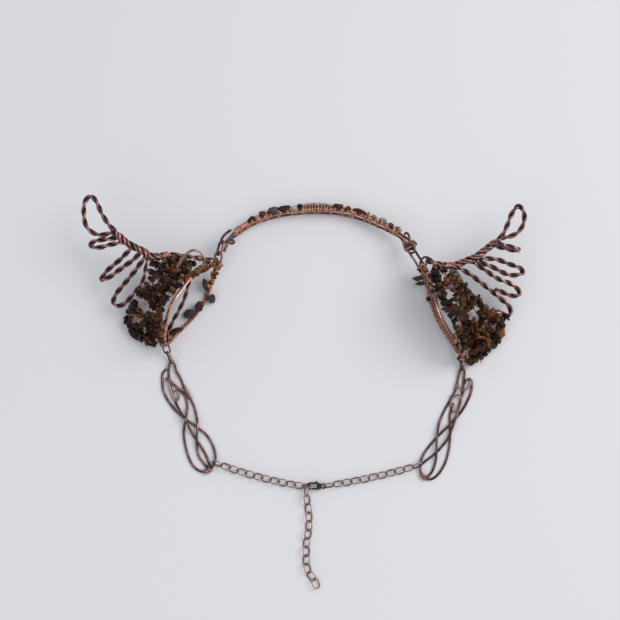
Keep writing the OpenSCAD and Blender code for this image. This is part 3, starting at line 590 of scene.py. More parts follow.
def broken(corners, seed, ground=0.16, size=1):
    """A chip of stone as it was broken, with flat faces and its edges only just ground. Its faces
    are put in order, so that each run gives the same mesh."""
    rng = np.random.default_rng(seed)
    middle = corners.mean(axis=0)
    chip = bmesh.new()
    for corner in corners:
        chip.verts.new(middle + (corner - middle) * size * rng.uniform(0.84, 1.04))
    bmesh.ops.convex_hull(chip, input=chip.verts)
    bmesh.ops.delete(chip, geom=[v for v in chip.verts if not v.link_faces], context="VERTS")
    bmesh.ops.dissolve_limit(chip, angle_limit=math.radians(14), verts=chip.verts, edges=chip.edges)
    bmesh.ops.remove_doubles(chip, verts=chip.verts, dist=0.5)
    bmesh.ops.bevel(chip, geom=chip.edges[:], offset=ground, segments=1, affect="EDGES")
    bmesh.ops.triangulate(chip, faces=chip.faces[:])
    bmesh.ops.recalc_face_normals(chip, faces=chip.faces[:])
    chip.verts.index_update()
    verts = np.array([v.co[:] for v in chip.verts])
    verts[:, 2] += max(0, 0.1 - verts[:, 2].min())
    faces = []
    for face in chip.faces:
        a, b, c = [v.index for v in face.verts]
        faces.append(min([a, b, c], [b, c, a], [c, a, b]))
    faces.sort()
    chip.free()
    return verts, verts - middle + rng.uniform(-40, 40, 3), faces


# Stone figure: bands across the chip, clouds of a second colour and fine grain
figured, start, end = effect_group(
    "stone_figure",
    {"Figure": ("Vector", (0, 0, 0)), "Tone": ("Float", 0.5), "Ground": ("Color", (0, 0, 0, 1)),
     "Band": ("Color", (1, 1, 1, 1)), "Cloud": ("Color", (1, 1, 1, 1)), "Bands": ("Float", 1),
     "Banding": ("Float", 0.5), "Cloudiness": ("Float", 0.5)},
    {"Color": "Color", "Roughness": "Float", "Height": "Float"})
bands = add_node(figured.nodes, "TexWave", Distortion=5, Detail=2, Detail_Scale=1.2)
clouds = add_node(figured.nodes, "TexNoise", Scale=0.55, Detail=4, Roughness=0.6)
grain = add_node(figured.nodes, "TexNoise", Scale=7, Detail=3, Roughness=0.7)
band_share = add_node(figured.nodes, "Math", operation="MULTIPLY", use_clamp=True)
cloud_edge = add_node(figured.nodes, "MapRange", interpolation_type="SMOOTHSTEP",
                      From_Min=0.42, From_Max=0.62)
cloud_share = add_node(figured.nodes, "Math", operation="MULTIPLY", use_clamp=True)
banded = add_node(figured.nodes, "Mix", data_type="RGBA")
clouded = add_node(figured.nodes, "Mix", data_type="RGBA")
grain_strength = 0.5
grain_tone = add_node(figured.nodes, "Math", operation="MULTIPLY_ADD")
grain_tone.inputs[1].default_value = grain_strength
tone_range = add_node(figured.nodes, "MapRange", To_Min=0.45, To_Max=1.15)
toned = add_node(figured.nodes, "HueSaturation")
sheen = add_node(figured.nodes, "MapRange", To_Min=0.2, To_Max=0.5)
for source, target in (
        (start.outputs["Figure"], bands.inputs["Vector"]), (start.outputs["Bands"], bands.inputs["Scale"]),
        (start.outputs["Figure"], clouds.inputs["Vector"]), (start.outputs["Figure"], grain.inputs["Vector"]),
        (bands.outputs["Fac"], band_share.inputs[0]), (start.outputs["Banding"], band_share.inputs[1]),
        (clouds.outputs["Fac"], cloud_edge.inputs["Value"]),
        (cloud_edge.outputs["Result"], cloud_share.inputs[0]),
        (start.outputs["Cloudiness"], cloud_share.inputs[1]),
        (band_share.outputs[0], banded.inputs["Factor"]), (start.outputs["Ground"], banded.inputs[6]),
        (start.outputs["Band"], banded.inputs[7]), (cloud_share.outputs[0], clouded.inputs["Factor"]),
        (banded.outputs[2], clouded.inputs[6]), (start.outputs["Cloud"], clouded.inputs[7]),
        (start.outputs["Tone"], tone_range.inputs["Value"]),
        (grain.outputs["Fac"], grain_tone.inputs[0]), (tone_range.outputs["Result"], grain_tone.inputs[2]),
        (clouded.outputs[2], toned.inputs["Color"]), (grain_tone.outputs[0], toned.inputs["Value"]),
        (toned.outputs["Color"], end.inputs["Color"]), (grain.outputs["Fac"], sheen.inputs["Value"]),
        (sheen.outputs["Result"], end.inputs["Roughness"]), (grain.outputs["Fac"], end.inputs["Height"])):
    figured.links.new(source, target)


def stone_finish(name, ground, band, cloud, bands, banding, cloudiness):
    """A polished stone of one kind."""
    material, nodes, links, shader = new_material(name)
    look = add_node(nodes, "Group", node_tree=figured)
    for label, value in (("Ground", linear(*ground)), ("Band", linear(*band)), ("Cloud", linear(*cloud)),
                         ("Bands", bands), ("Banding", banding), ("Cloudiness", cloudiness)):
        look.inputs[label].default_value = value
    figure = add_node(nodes, "Attribute", attribute_name="figure")
    tone = add_node(nodes, "Attribute", attribute_name="tone")
    pits = add_node(nodes, "Bump", Strength=0.2, Distance=0.00005)
    links.new(figure.outputs["Vector"], look.inputs["Figure"])
    links.new(tone.outputs["Fac"], look.inputs["Tone"])
    links.new(look.outputs["Color"], shader.inputs["Base Color"])
    links.new(look.outputs["Roughness"], shader.inputs["Roughness"])
    links.new(look.outputs["Height"], pits.inputs["Height"])
    links.new(pits.outputs["Normal"], shader.inputs["Normal"])
    shader.inputs["IOR"].default_value = 1.54
    shader.inputs["Specular IOR Level"].default_value = 0.14
    shader.inputs["Coat Weight"].default_value = 0.06
    shader.inputs["Coat Roughness"].default_value = 0.1
    return material


stone_kinds = {
    "brown": stone_finish("brown_jasper", (54, 29, 18), (98, 56, 31), (28, 17, 12), 0.6, 0.6, 0.6),
    "black": stone_finish("dark_onyx", (26, 16, 11), (54, 34, 22), (17, 11, 8), 0.4, 0.4, 0.5),
    "amber": stone_finish("tiger_eye", (88, 49, 21), (156, 96, 40), (40, 22, 13), 0.9, 0.9, 0.7),
    "olive": stone_finish("olive_agate", (68, 56, 32), (108, 92, 52), (34, 28, 18), 0.6, 0.6, 0.6),
    "mauve": stone_finish("grey_agate", (104, 88, 88), (136, 120, 118), (72, 58, 58), 0.5, 0.5, 0.5),
    "grey": stone_finish("dark_slate_agate", (72, 61, 62), (94, 80, 78), (52, 42, 42), 0.4, 0.5, 0.5),
    "pale": stone_finish("pale_olive_agate", (140, 128, 98), (190, 178, 146), (82, 72, 52), 0.8, 0.8, 0.8),
    "russet": stone_finish("russet_jasper", (134, 78, 54), (174, 110, 78), (90, 50, 38), 0.5, 0.5, 0.5),
}


def stone_piece(name, chips, rounded=True):
    """One object from chips, each given as its shape, its kind of stone and its tone."""
    kinds = list(dict.fromkeys(kind for _, kind, _ in chips))
    verts = np.vstack([shape[0] for shape, _, _ in chips])
    figure = np.vstack([shape[1] for shape, _, _ in chips])
    faces, start = [], 0
    for shape, _, _ in chips:
        faces += [[start + k for k in face] for face in shape[2]]
        start += len(shape[0])
    mesh = bpy.data.meshes.new(name)
    mesh.from_pydata((verts * mm).tolist(), [], faces)
    tones = np.repeat([tone for _, _, tone in chips], [len(shape[0]) for shape, _, _ in chips])
    mesh.attributes.new("figure", "FLOAT_VECTOR", "POINT").data.foreach_set("vector", figure.ravel())
    mesh.attributes.new("tone", "FLOAT", "POINT").data.foreach_set("value", tones)
    for kind in kinds:
        mesh.materials.append(stone_kinds[kind])
    mesh.polygons.foreach_set("material_index", np.repeat(
        [kinds.index(kind) for _, kind, _ in chips], [len(shape[2]) for shape, _, _ in chips]))
    if rounded:
        mesh.shade_smooth()
    piece = bpy.data.objects.new(name, mesh)
    scene.collection.objects.link(piece)
    return piece


# Each stone's kind, its length, its height and its turn
band_chips = [
    ("brown", 6.8, 5.2, 0), ("olive", 5.6, 4.4, 0), ("grey", 8.4, 5.8, 0), ("brown", 8.6, 5.4, 0),
    ("black", 3.8, 4.2, 45), ("brown", 9.4, 4.4, 20), ("olive", 5, 3.4, 0), ("brown", 9.4, 5.2, 0),
    ("pale", 4.2, 3, 0), ("pale", 4, 2.6, 0), ("pale", 6.4, 4.4, 0), ("olive", 4.6, 3, 0),
    ("pale", 4.6, 3, 0)
]
band_chip_thick = 4
against_the_wires = [0, -0.9, 1.6]
band_parts = sorted(solid_parts("band_chips"), key=lambda part: part[:, 0].mean())
chips = []
rng = np.random.default_rng(21)
for count, (part, (kind, length, high, turn)) in enumerate(zip(band_parts, band_chips)):
    middle = part.mean(axis=0)
    ahead = stone_line[np.abs(stone_line[:, 0] - middle[0] - 2).argmin()]
    behind = stone_line[np.abs(stone_line[:, 0] - middle[0] + 2).argmin()]
    along = unit(ahead - behind + rng.normal(size=3) * 0.12)
    up = -unit(np.cross(along, (0.1, 0.24, 0.97)))
    t = math.radians(turn)
    along, up = math.cos(t) * along + math.sin(t) * up, math.cos(t) * up - math.sin(t) * along
    corners = chip_corners(middle + against_the_wires, length, high, band_chip_thick, rng,
                           (along, up, np.cross(along, up)))
    chips.append((tumbled(corners, 200 + count, polish=60, size=1.24), kind, 0.35 + 0.2 * (count % 3)))
piece = stone_piece("band_stones", chips)
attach(piece, "diadem")
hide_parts("band_chips")

# The links between the band and the ear pieces
# Ovals of round copper wire, closed on themselves: two at the left, beside the end of a wire, and
# a long one at the right, where thick wire is wrapped round the band's eye and ends in a curl.
link_play = 0.3


def link_points(start, finish, roll, width, wire):
    """An oval link that reaches round the two points where it meets its neighbours, as a closed
    route that begins at its butt joint, and the normal of its plane."""
    start, finish = np.array(start, float), np.array(finish, float)
    way = finish - start
    length = np.linalg.norm(way)
    half = length / 2 + wire / 2 + link_play / 2
    r = (width - wire) / 2
    pitch = -math.atan2(way[2], math.hypot(way[0], way[1]))
    yaw = math.atan2(way[1], way[0])
    x = np.array([math.cos(yaw) * math.cos(pitch), math.sin(yaw) * math.cos(pitch), -math.sin(pitch)])
    y0 = np.array([-math.sin(yaw), math.cos(yaw), 0])
    z0 = np.cross(x, y0)
    a = math.radians(roll)
    y = math.cos(a) * y0 + math.sin(a) * z0
    straight = half - r
    bend = np.linspace(0, math.pi, 14)
    ring = [[t, -r] for t in np.linspace(0, straight, 5)[:-1]]
    ring += [[straight + r * math.sin(b), -r * math.cos(b)] for b in bend]
    ring += [[t, r] for t in np.linspace(straight, -straight, 9)[1:-1]]
    ring += [[-straight - r * math.sin(b), r * math.cos(b)] for b in bend]
    ring += [[t, -r] for t in np.linspace(-straight, 0, 5)[1:]]
    middle = (start + finish) / 2
    return np.array([middle + p * x + q * y for p, q in ring]), np.cross(x, y)


def link_tube(start, finish, roll, width, wire, sides):
    """A link as a wire whose two ends meet in a fine joint."""
    points, normal = link_points(start, finish, roll, width, wire)
    s = distances(points)
    chamfer = [0.05, 0.12, s[-1] - 0.05, s[-1] - 0.12]
    fine = points_at(points, np.sort(np.concatenate([np.linspace(0, s[-1], len(points)), chamfer])))
    radius = np.full(len(fine), wire / 2)
    radius[0] = radius[-1] = wire / 2 * 0.8
    radius[1] = radius[-2] = wire / 2 * 0.95
    out = fine - points.mean(axis=0)
    out /= np.linalg.norm(out, axis=1)[:, None]
    return tube(fine, radius, sides, normal=normal, outward=out)


left_shoulder_points = [[-50.6, 91.2, 13.3], [-52.1, 83.8, 15.2], [-53.3, 76.3, 15.7]]
right_shoulder_points = [[65.6, 87, 12.9], [72.7, 73.8, 17.4]]
shoulder_wire = 1.56
left_tail = [[-46, 92.8, 12], [-47, 90.4, 12.8], [-48.2, 87.8, 13.2], [-49, 85.6, 13.4]]
left_tail_wire = 1.68
right_curl = [[63.4, 88.2, 14.9], [64.6, 89.8, 15.1], [66, 91.2, 15.1], [67.4, 91.5, 15], [68.6, 90.7, 14.8],
              [69, 89.4, 14.6]]
right_curl_wire = 1.2
right_wrap_wire = 1.3
right_wrap, right_wrap_out = wrapped([[62.9, 88.8, 12.6], [66.4, 90.2, 13.4]], 0.75, (0.3, -0.94, 0.1),
                                     turns=3.6, pitch=1.55, thin=right_wrap_wire, seed=1)
for name, node, tubes in (
        ("left_shoulder_ovals", "left_shoulder_links",
         [link_tube(*left_shoulder_points[:2], roll=46, width=5.8, wire=shoulder_wire, sides=16),
          link_tube(*left_shoulder_points[1:], roll=-6, width=5.8, wire=shoulder_wire, sides=16),
          tube(smooth_route(left_tail, 8), left_tail_wire / 2, 14)]),
        ("right_shoulder_oval", "right_shoulder_link",
         [link_tube(*right_shoulder_points, roll=-38, width=7, wire=shoulder_wire, sides=16),
          tube(smooth_route(right_curl, 8), right_curl_wire / 2, 14),
          tube(right_wrap, right_wrap_wire / 2, 14, outward=right_wrap_out)])):
    piece = wire_piece(name, tubes, antique_copper)
    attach(piece, "diadem")
    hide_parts(node)

# The ear loops
# Each is one heavy wire bent into an oval that stands on its edge and goes round the ear. Thin
# bright wire is wound closely round it, and thicker wire in wide turns over that.
left_loop_route = [
    [-55, 73.4, 8.5], [-53.4, 76.8, 13], [-53.1, 77.1, 16], [-54.4, 76.5, 19.2], [-58.4, 75, 22.4],
    [-62, 72.8, 25.2], [-67.2, 67, 29.4], [-73.4, 57.6, 33.5], [-78.6, 49.2, 35],
    [-81.8, 41.2, 31.5], [-84.6, 34, 22], [-85.4, 29.8, 14.4], [-84.9, 28.4, 9], [-83.6, 29.6, 4.8],
    [-80.4, 33.8, 2], [-76.1, 38.7, 1.3], [-69.5, 45.5, 1.3], [-62.6, 54.8, 1.3], [-59.3, 62, 1.8],
    [-57, 68.8, 4.2]
]
right_loop_route = [
    [72, 75.1, 13], [72.2, 74.8, 16], [72.4, 74.6, 19], [73, 71.8, 23.4], [74.4, 66.4, 28.8],
    [77.2, 55, 35.5], [80, 44.5, 38], [84, 36, 35.5], [89.5, 28.5, 28], [94.2, 23, 18],
    [96, 21.5, 12], [96.5, 21.5, 8], [95.4, 23.4, 4.4], [92.6, 28, 2], [89, 33.6, 1.4],
    [83.6, 42.8, 1.3], [79.8, 52, 1.3], [77.4, 61.4, 1.6], [75, 68.4, 3.8], [72.8, 73.4, 8.6]
]
winding_wire = 0.4
core_wire = 1.32


def share(curve, first, last):
    """Two shares of a curve's length as distances along it."""
    whole = distances(curve)[-1]
    return first * whole, last * whole


def beside(curve, first, last, offset, step=0.8):
    """A stretch of a curve, moved to one side by offset millimetres."""
    low, high = share(curve, first, last)
    return points_at(curve, np.arange(low, high, step)) + np.array(offset)


left_loop = smooth_route(left_loop_route, 12, True)
right_loop = smooth_route(right_loop_route, 12, True)
# The shares of the loop between which thin wire is wound, its pitch, and a number for its unevenness
left_windings = [(0, 0.06, 0.56, 1), (0.19, 0.25, 0.6, 1), (0.36, 0.38, 0.5, 4), (0.6, 0.985, 0.86, 2)]
right_windings = [(0, 0.03, 0.5, 2), (0.1, 0.19, 0.6, 1), (0.42, 0.47, 0.6, 2), (0.5, 0.985, 0.9, 3)]
# The same for the wide turns, but with how far out they lie and how thick their wire is
left_wide_turns = [(0, 0.2, 1.7, 1.7, 0.5), (0.6, 0.985, 2.1, 1.15, 0.6), (0.46, 0.6, 1.9, 1.9, 0.42)]
right_wide_turns = [(0, 0.12, 2.2, 2, 0.42), (0.44, 0.58, 2.4, 1.7, 0.42), (0.58, 0.985, 2.3, 1.15, 0.6)]
wound_reach = core_wire / 2 + winding_wire / 2
for side, loop, normal, windings, wide_turns in (
        ("left", left_loop, (0.93, -0.15, 0.33), left_windings, left_wide_turns),
        ("right", right_loop, (0.9, 0.42, 0.05), right_windings, right_wide_turns)):
    turns = []
    for first, last, pitch, seed in windings:
        path = wound(loop, *share(loop, first, last), pitch, wound_reach, seed)
        turns.append(thin_tube(path, winding_wire, 6))
    for first, last, pitch, reach, thick in wide_turns:
        turns.append(thin_tube(wound(loop, *share(loop, first, last), pitch, reach, 5), thick, 8))
    core = [tube(even(loop, 0.7), core_wire / 2, 14, normal=unit(np.array(normal)))]
    for name, tubes, finish, slot in (("_ear_wire", core, antique_copper, "antique_copper"),
                                      ("_ear_winding", turns, bright_copper, "bright_copper")):
        piece = wire_piece(side + name, tubes, finish)
        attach(piece, "diadem")
        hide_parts(side + "_ear_loop")

# The ear loops' second wires
# Copper wires laid beside each loop's upper side. On the right one, single turns of thin wire bind
# the two like the rungs of a ladder, and a thinner wire lies along the top.
left_second = beside(left_loop, 0.21, 0.5, (1.25, 0.5, 0.2))
right_second = beside(right_loop, 0.17, 0.5, (-1.5, -0.55, -0.2))
right_top = right_second + np.array([0.72, 0.28, 0.75])
left_second_wire = 1.2
right_top_wire = 0.8
rung_step = 1.35
ladder = []
for count, along in enumerate(np.arange(*share(right_loop, 0.175, 0.49), rung_step)):
    pair = points_at(right_loop, [along, along + 0.5])
    mate = right_second[np.linalg.norm(right_second - pair[0], axis=1).argmin()]
    ahead = pair[1] - pair[0] + np.array([-0.16, 0.1 * (count % 3), 0.1])
    path = wrapped([pair[0], mate], core_wire / 2, ahead, turns=1.1, pitch=1.3, thin=winding_wire,
                   seed=count * 0.3)
    ladder.append(thin_tube(path, winding_wire))
# The left second wire and the thin wire along the top have the lighter copper, partly rubbed bright and
# partly a painted highlight for the bright streaks along the loops.
for name, node, tubes, finish, slot in (
        ("left_ear_second_wire", "left_ear_loop", [tube(left_second, left_second_wire / 2, 12)],
         rubbed_and_highlight_copper, "antique_copper"),
        ("right_ear_second_wire", "right_ear_loop", [tube(right_second, core_wire / 2, 14)],
         antique_copper, "antique_copper"),
        ("right_ear_ladder", "right_ear_loop", ladder, antique_copper, "bright_copper"),
        ("right_ear_middle_wire", "right_ear_loop", [tube(right_top, right_top_wire / 2, 10)],
         rubbed_and_highlight_copper, "bright_copper")):
    piece = wire_piece(name, tubes, finish)
    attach(piece, "diadem")
    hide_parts(node)

# The wings' spines, feathers and struts
# Pairs of heavy copper wires twisted together by hand. A spine runs along the top of each wing
# and turns back as the first feather, and the other feathers are loops bound to it at the root.
left_spine_route = [
    [-57.4, 78.7, 20.6], [-63, 79.3, 22], [-72, 80.5, 23], [-81, 81.2, 24], [-87, 80.2, 24.3],
    [-93, 80.3, 24.5], [-97, 83, 25.2], [-103, 85.6, 26.5], [-108.5, 88.8, 28], [-113.5, 93.8, 30],
    [-118.2, 99, 30.5], [-122.5, 106, 31], [-125.8, 113, 31], [-129.5, 115.8, 31],
    [-132.8, 111.5, 30.5], [-133, 104, 29.5], [-131.6, 98, 29], [-127.5, 93.8, 28.5],
    [-122, 92.4, 28.5], [-116.4, 93.6, 28.8]
]
right_spine_route = [
    [74.4, 78.4, 20], [79.2, 76.4, 20.5], [85.6, 75, 21], [92.2, 75.3, 22], [97.8, 77.4, 23],
    [104.2, 79.8, 24], [109.4, 83.6, 25], [114.2, 87.2, 26], [119.7, 92, 28], [122.8, 98, 29],
    [125.6, 105, 30], [129.2, 109.6, 31], [132.4, 107, 31], [133, 101, 30.5], [130.4, 95, 29.5],
    [126, 92, 28.6], [122.4, 91, 28.2]
]
left_feathers = [
    [[-112.2, 87.8, 27], [-118.5, 86.6, 26], [-124.5, 85.3, 25], [-129.3, 86.6, 24.4],
     [-127.3, 89.2, 25], [-121.5, 90, 26.4], [-114.2, 90.8, 27.4]],
    [[-104.6, 84.6, 25.9], [-112, 78.3, 22], [-119.6, 72.6, 19], [-123.4, 67, 17.2],
     [-118.2, 68.6, 18.3], [-110.5, 73.6, 21], [-103.6, 78.2, 23], [-99.8, 81.7, 24.2]],
    [[-96.6, 79.4, 24], [-103, 71.4, 20.6], [-110.5, 63.6, 16], [-115.3, 58.4, 13],
     [-116.6, 53.6, 11], [-113.6, 52, 10.6], [-109, 54, 11.6], [-105.6, 57.4, 13.2],
     [-102, 61.4, 15.4], [-98.2, 66, 18], [-96.6, 71, 21], [-95.4, 76.8, 23]]
]
right_feathers = [
    [[116.8, 86.4, 24.6], [122, 85, 24], [128, 83.8, 23.6], [130.2, 83.6, 25.4],
     [128, 84.4, 27.4], [122.4, 85.8, 27.6], [117.4, 87.2, 27.8]],
    [[107.2, 79, 24], [117, 78.4, 23], [124.5, 76, 21], [131.5, 74, 19], [133, 71, 17.8],
     [127, 69.6, 18], [121, 71, 19.5], [115, 73.8, 21.4], [107.8, 76.4, 22.6]],
    [[103, 76.8, 22.4], [110, 72.4, 20.4], [118, 67.8, 17], [125.4, 65.4, 14.6],
     [131, 61.8, 12.6], [131.6, 58.6, 11.5], [126.5, 58.2, 12], [119.2, 60.8, 14.2]],
    [[94.6, 73.2, 21.9], [101.3, 69.4, 20.6], [107.3, 65.2, 18.6], [114.6, 60.2, 15.4],
     [120.4, 56, 12.4], [125.4, 52.2, 9.8], [126.8, 48.6, 8], [124.2, 46.6, 7.4],
     [120.6, 48, 8.6]]
]
left_strut_route = [
    [-71, 78, 21], [-69.8, 74, 20], [-69.6, 69.4, 19.6], [-70.3, 63.3, 18.5], [-72.9, 54.5, 17],
    [-76.5, 47.5, 15.5], [-80.1, 41.4, 13.6], [-82.6, 36, 11.8], [-83.6, 32.2, 11.6]
]
right_strut_route = [
    [82.4, 74.2, 18.8], [82.9, 62, 18.4], [85.6, 52, 18.6], [89.4, 43, 18], [92.6, 36, 16.6],
    [94, 31.4, 14.9]
]
twist_pitch = 14.4
twist_step = twist_pitch / 8
twisted_copper = copper_finish("twisted_copper", (66, 35, 34), (214, 150, 138), wear=-0.32, blotch_size=160)


def twisted(route, across=3.2, up=(0, 0, 1), thin=1, shown=(0, 1), begin=0, rope=None):
    """Two wires twisted round each other by hand, an eighth of a turn at each step of the solid.
    They stand apart by a slack that comes and goes, and further where a rope has four of them."""
    finer, slack = 3, 0.02
    rope_fade, rope_swell, rope_room = 0.04, 0.12, 0.56
    curve = smooth_route(route)
    whole = distances(curve)[-1]
    n = max(1, round(whole / twist_step)) * finer
    p = points_at(curve, np.linspace(0, whole, n + 1))
    _, u, v = sideways(p, up)
    k = np.arange(n + 1)
    a = math.radians(45) * k / finer + math.radians(begin)
    wire = np.interp(k / n, [0.62, 0.72], [1, thin]) * across / 4
    apart = 1 + slack * (0.6 + 0.4 * np.sin(k * 0.23 + n))
    if rope:
        low, high = rope
        in_rope = np.interp(k / n, [low - rope_fade, low, high, high + rope_fade], [0, 1, 1, 0])
        wire = wire * (1 + rope_swell * in_rope)
        apart = apart + rope_room * in_rope
    keep = slice(int(shown[0] * n), int(shown[1] * n) + 1)
    tubes = []
    for b in (a, a + math.pi):
        out = np.cos(b)[:, None] * u + np.sin(b)[:, None] * v
        line = p + (wire * apart)[:, None] * out
        tubes.append(tube(line[keep], wire[keep] * 1.03, 12, outward=out[keep]))
    return tubes


def rooted(route, before, after):
    """A feather's route, led on to the spine that it is bound to."""
    return [before] + route + [after]


left_spine_line = left_spine_route + [[-113.4, 92.2, 29]]
right_spine_line = right_spine_route + [[119.4, 90.6, 28]]
left_rope, right_rope = (0.2, 0.46), (0.08, 0.46)
for node, tubes in (
        ("left_spine", twisted(left_spine_line, rope=left_rope)),
        ("right_spine", twisted(right_spine_line, rope=right_rope)),
        ("left_feather_2", twisted(rooted(left_feathers[0], [-109.6, 88.4, 27.8], [-112, 91.6, 28.6]))),
        ("left_feather_3", twisted(rooted(left_feathers[1], [-103.2, 85.6, 26.5], [-98.4, 83, 25.2]))),
        ("left_feather_4",
         twisted(rooted(left_feathers[2], [-95.4, 80.6, 24.6], [-94.8, 78.6, 24]), thin=0.75)),
        ("right_feather_2",
         twisted(rooted(right_feathers[0], [114.8, 87, 25.4], [115.2, 87.8, 27]), up=(0, 1, 0))),
        ("right_feather_3", twisted(rooted(right_feathers[1], [105, 79.6, 24], [104.6, 77.6, 23.4]))),
        ("right_feather_4", twisted(rooted(right_feathers[2], [100.4, 77.4, 22.8], [116.4, 61, 16.4]))),
        ("right_feather_5", twisted(rooted(right_feathers[3], [91.6, 74, 22], [117.6, 47.4, 9.4]))),
        ("left_strut", twisted(left_strut_route, across=2.7)),
        ("right_strut", twisted(right_strut_route, across=2.4))):
    piece = wire_piece(node + "_twist", tubes, twisted_copper)
    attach(piece, "diadem")
    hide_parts(node)

# The inner end of each spine hooks round the head of its ear loop
left_hook = [[-60.6, 79, 21.6], [-57.4, 79.2, 21], [-54.4, 79.4, 20.4], [-52, 78, 19], [-51.9, 76, 17.4],
             [-53.4, 74.8, 16.8]]
right_hook = [[79.6, 76.6, 21.4], [76.6, 79.2, 21.6], [73.8, 80.4, 20.8], [71.6, 79.2, 19.4],
              [71, 76.6, 17.8], [72, 74.2, 17], [74.2, 73.8, 17]]
hook_wire = 1.44
for side, hook in (("left", left_hook), ("right", right_hook)):
    piece = wire_piece(side + "_spine_hook", [tube(smooth_route(hook, 8), hook_wire / 2, 14)], antique_copper)
    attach(piece, "diadem")
    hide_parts(side + "_spine")

# The ends of the feathers run on down the spine and make it a rope of four wires
for side, line, place in (("left", left_spine_line, left_rope), ("right", right_spine_line, right_rope)):
    piece = wire_piece(side + "_spine_rope", twisted(line, shown=place, begin=74, rope=place), twisted_copper)
    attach(piece, "diadem")
    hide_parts(side + "_spine")

# Coils of thin wire bind the spines' inner ends to the nets
coil_wire = winding_wire + 0.05
spine_coils = []
for route, places in ((left_spine_route, (0.04, 0.2)), (right_spine_route, (0.05, 0.13))):
    curve = smooth_route(route, 12)
    for count, place in enumerate(places):
        low = place * distances(curve)[-1]
        coil = wound(curve, low, low + 2.2 + 0.6 * count, pitch=0.62, reach=1.95 + 0.2 * count, seed=count)
        spine_coils.append(thin_tube(coil, coil_wire, 6))
piece = wire_piece("feather_bindings", spine_coils, bright_copper)
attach(piece, "diadem")
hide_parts("left_spine", "right_spine")

# The nets of the wings
# Thin bright wires stretched between the ear loop and the spine, with broken chips of mixed stone
# threaded on them close together, so that they fill each wing.
left_net = [
    [[-69.8, 73.6, 23.6], [-72.7, 65.9, 28], [-76.7, 59.8, 31], [-81.2, 54, 32],
     [-85, 48.4, 30], [-87.6, 42.6, 25], [-88.4, 37, 18], [-87.2, 32, 11]],
    [[-76.4, 76.2, 23], [-79, 69, 26], [-83, 62.8, 27.5], [-87.6, 57.2, 26.6],
     [-91.6, 52.2, 23], [-93.6, 47, 18], [-93.4, 41.6, 13], [-91.4, 36, 8.6], [-89.6, 33, 6]],
    [[-84, 76.8, 22], [-88, 69.8, 22.6], [-93.2, 64.6, 20.6], [-98.4, 59.6, 17.4],
     [-102.6, 55, 14], [-104.4, 50.8, 10.8], [-100.8, 47.8, 10.2], [-97, 44.4, 9.2],
     [-95.8, 39.4, 7], [-95.6, 35.4, 5]],
    [[-107.2, 50.8, 7.6], [-107.8, 46, 5.6], [-108.2, 41.4, 4.6], [-106, 36.8, 4.4],
     [-101.6, 33, 4.4], [-95.4, 30.4, 4.4], [-90, 28.4, 4.4]],
    [[-103.6, 43.6, 6.4], [-101.4, 40, 5.4], [-99.2, 37, 4.8]],
    [[-92, 59.4, 21.4], [-94, 55.4, 18.6], [-97.2, 51.2, 15.4]],
    [[-91.6, 77.2, 21.4], [-93.4, 70.2, 19.2]],
    [[-73.8, 74, 17.4], [-77.4, 66.8, 19.8], [-81.8, 59.8, 21.8], [-85.8, 53.2, 21.1],
     [-88.8, 47.4, 17.8]],
    [[-80.4, 77, 17.4], [-83.8, 70.4, 18], [-87.8, 63.8, 17.4]]
]
right_net = [
    [[78.6, 72.4, 25], [79.8, 62.8, 31], [81.8, 53.4, 34], [84.9, 46.2, 34.4],
     [89.4, 39.4, 31], [93.8, 33.4, 24], [96.6, 28.6, 16], [97.6, 25.6, 10.6]],
    [[85, 71.2, 22.6], [88.3, 63.4, 25], [92.9, 56.2, 26.4], [96.2, 50, 25],
     [97.8, 44.4, 20.6], [98.6, 39, 15.6], [99.8, 33.8, 10.6], [101.4, 28.6, 7]],
    [[91.4, 71.4, 21], [94.8, 64.6, 21], [99.8, 57.3, 20.6], [104.6, 51.2, 18.6],
     [107.6, 46.4, 15.4], [108.6, 41.3, 11.4], [107, 35.6, 8], [104.6, 30.4, 5.6],
     [102.6, 26.4, 4.6]],
    [[84.2, 69.8, 26.4], [85.4, 63, 29.6], [88, 55.2, 31.4], [91, 48.2, 30.6], [94.4, 41.8, 26]],
    [[91.6, 70, 18.6], [97.4, 61.6, 17.4], [104.6, 54.4, 15], [113.6, 47.8, 11],
     [121.4, 42.4, 7], [122, 37.2, 5], [119.6, 31.8, 4.4], [115.3, 27, 4.2],
     [110.3, 23, 4.2], [104.8, 19.9, 4.2], [99.4, 18, 4.2]],
    [[115, 43.4, 7.6], [114.4, 38.6, 5.8], [112.4, 33.8, 4.8], [109.4, 28.6, 4.6]],
    [[88.4, 72, 16], [91.4, 65, 15.8], [95.6, 58.4, 15.6]],
    [[113.2, 32, 10.6], [109, 28.2, 10.4], [104.8, 25, 10.2], [102, 22.8, 10]]
]
left_arc = [
    [-76.4, 72.4, 29.4], [-74.2, 76.4, 30.6], [-70.4, 80.2, 32.4], [-66.6, 82.3, 33],
    [-62.8, 81.4, 31.4], [-60.6, 78.4, 27.6], [-60.3, 74.6, 25.2]
]
net_wire = 0.5
arc_wire = 0.8
stone_pair = 7.2
# The plain copper that came with the solids. The threads and a few wires have it as it is.
plain_copper = bpy.data.materials["antique_copper"]
plain_bright_copper = bpy.data.materials["bright_copper"]


def net_thread(route):
    """A thread's straight pieces, each long enough for two stones, rounded a little at the bends."""
    curve = smooth_route(route)
    whole = distances(curve)[-1]
    return smooth_route(even(curve, whole / max(1, math.floor(whole / stone_pair))), 4)


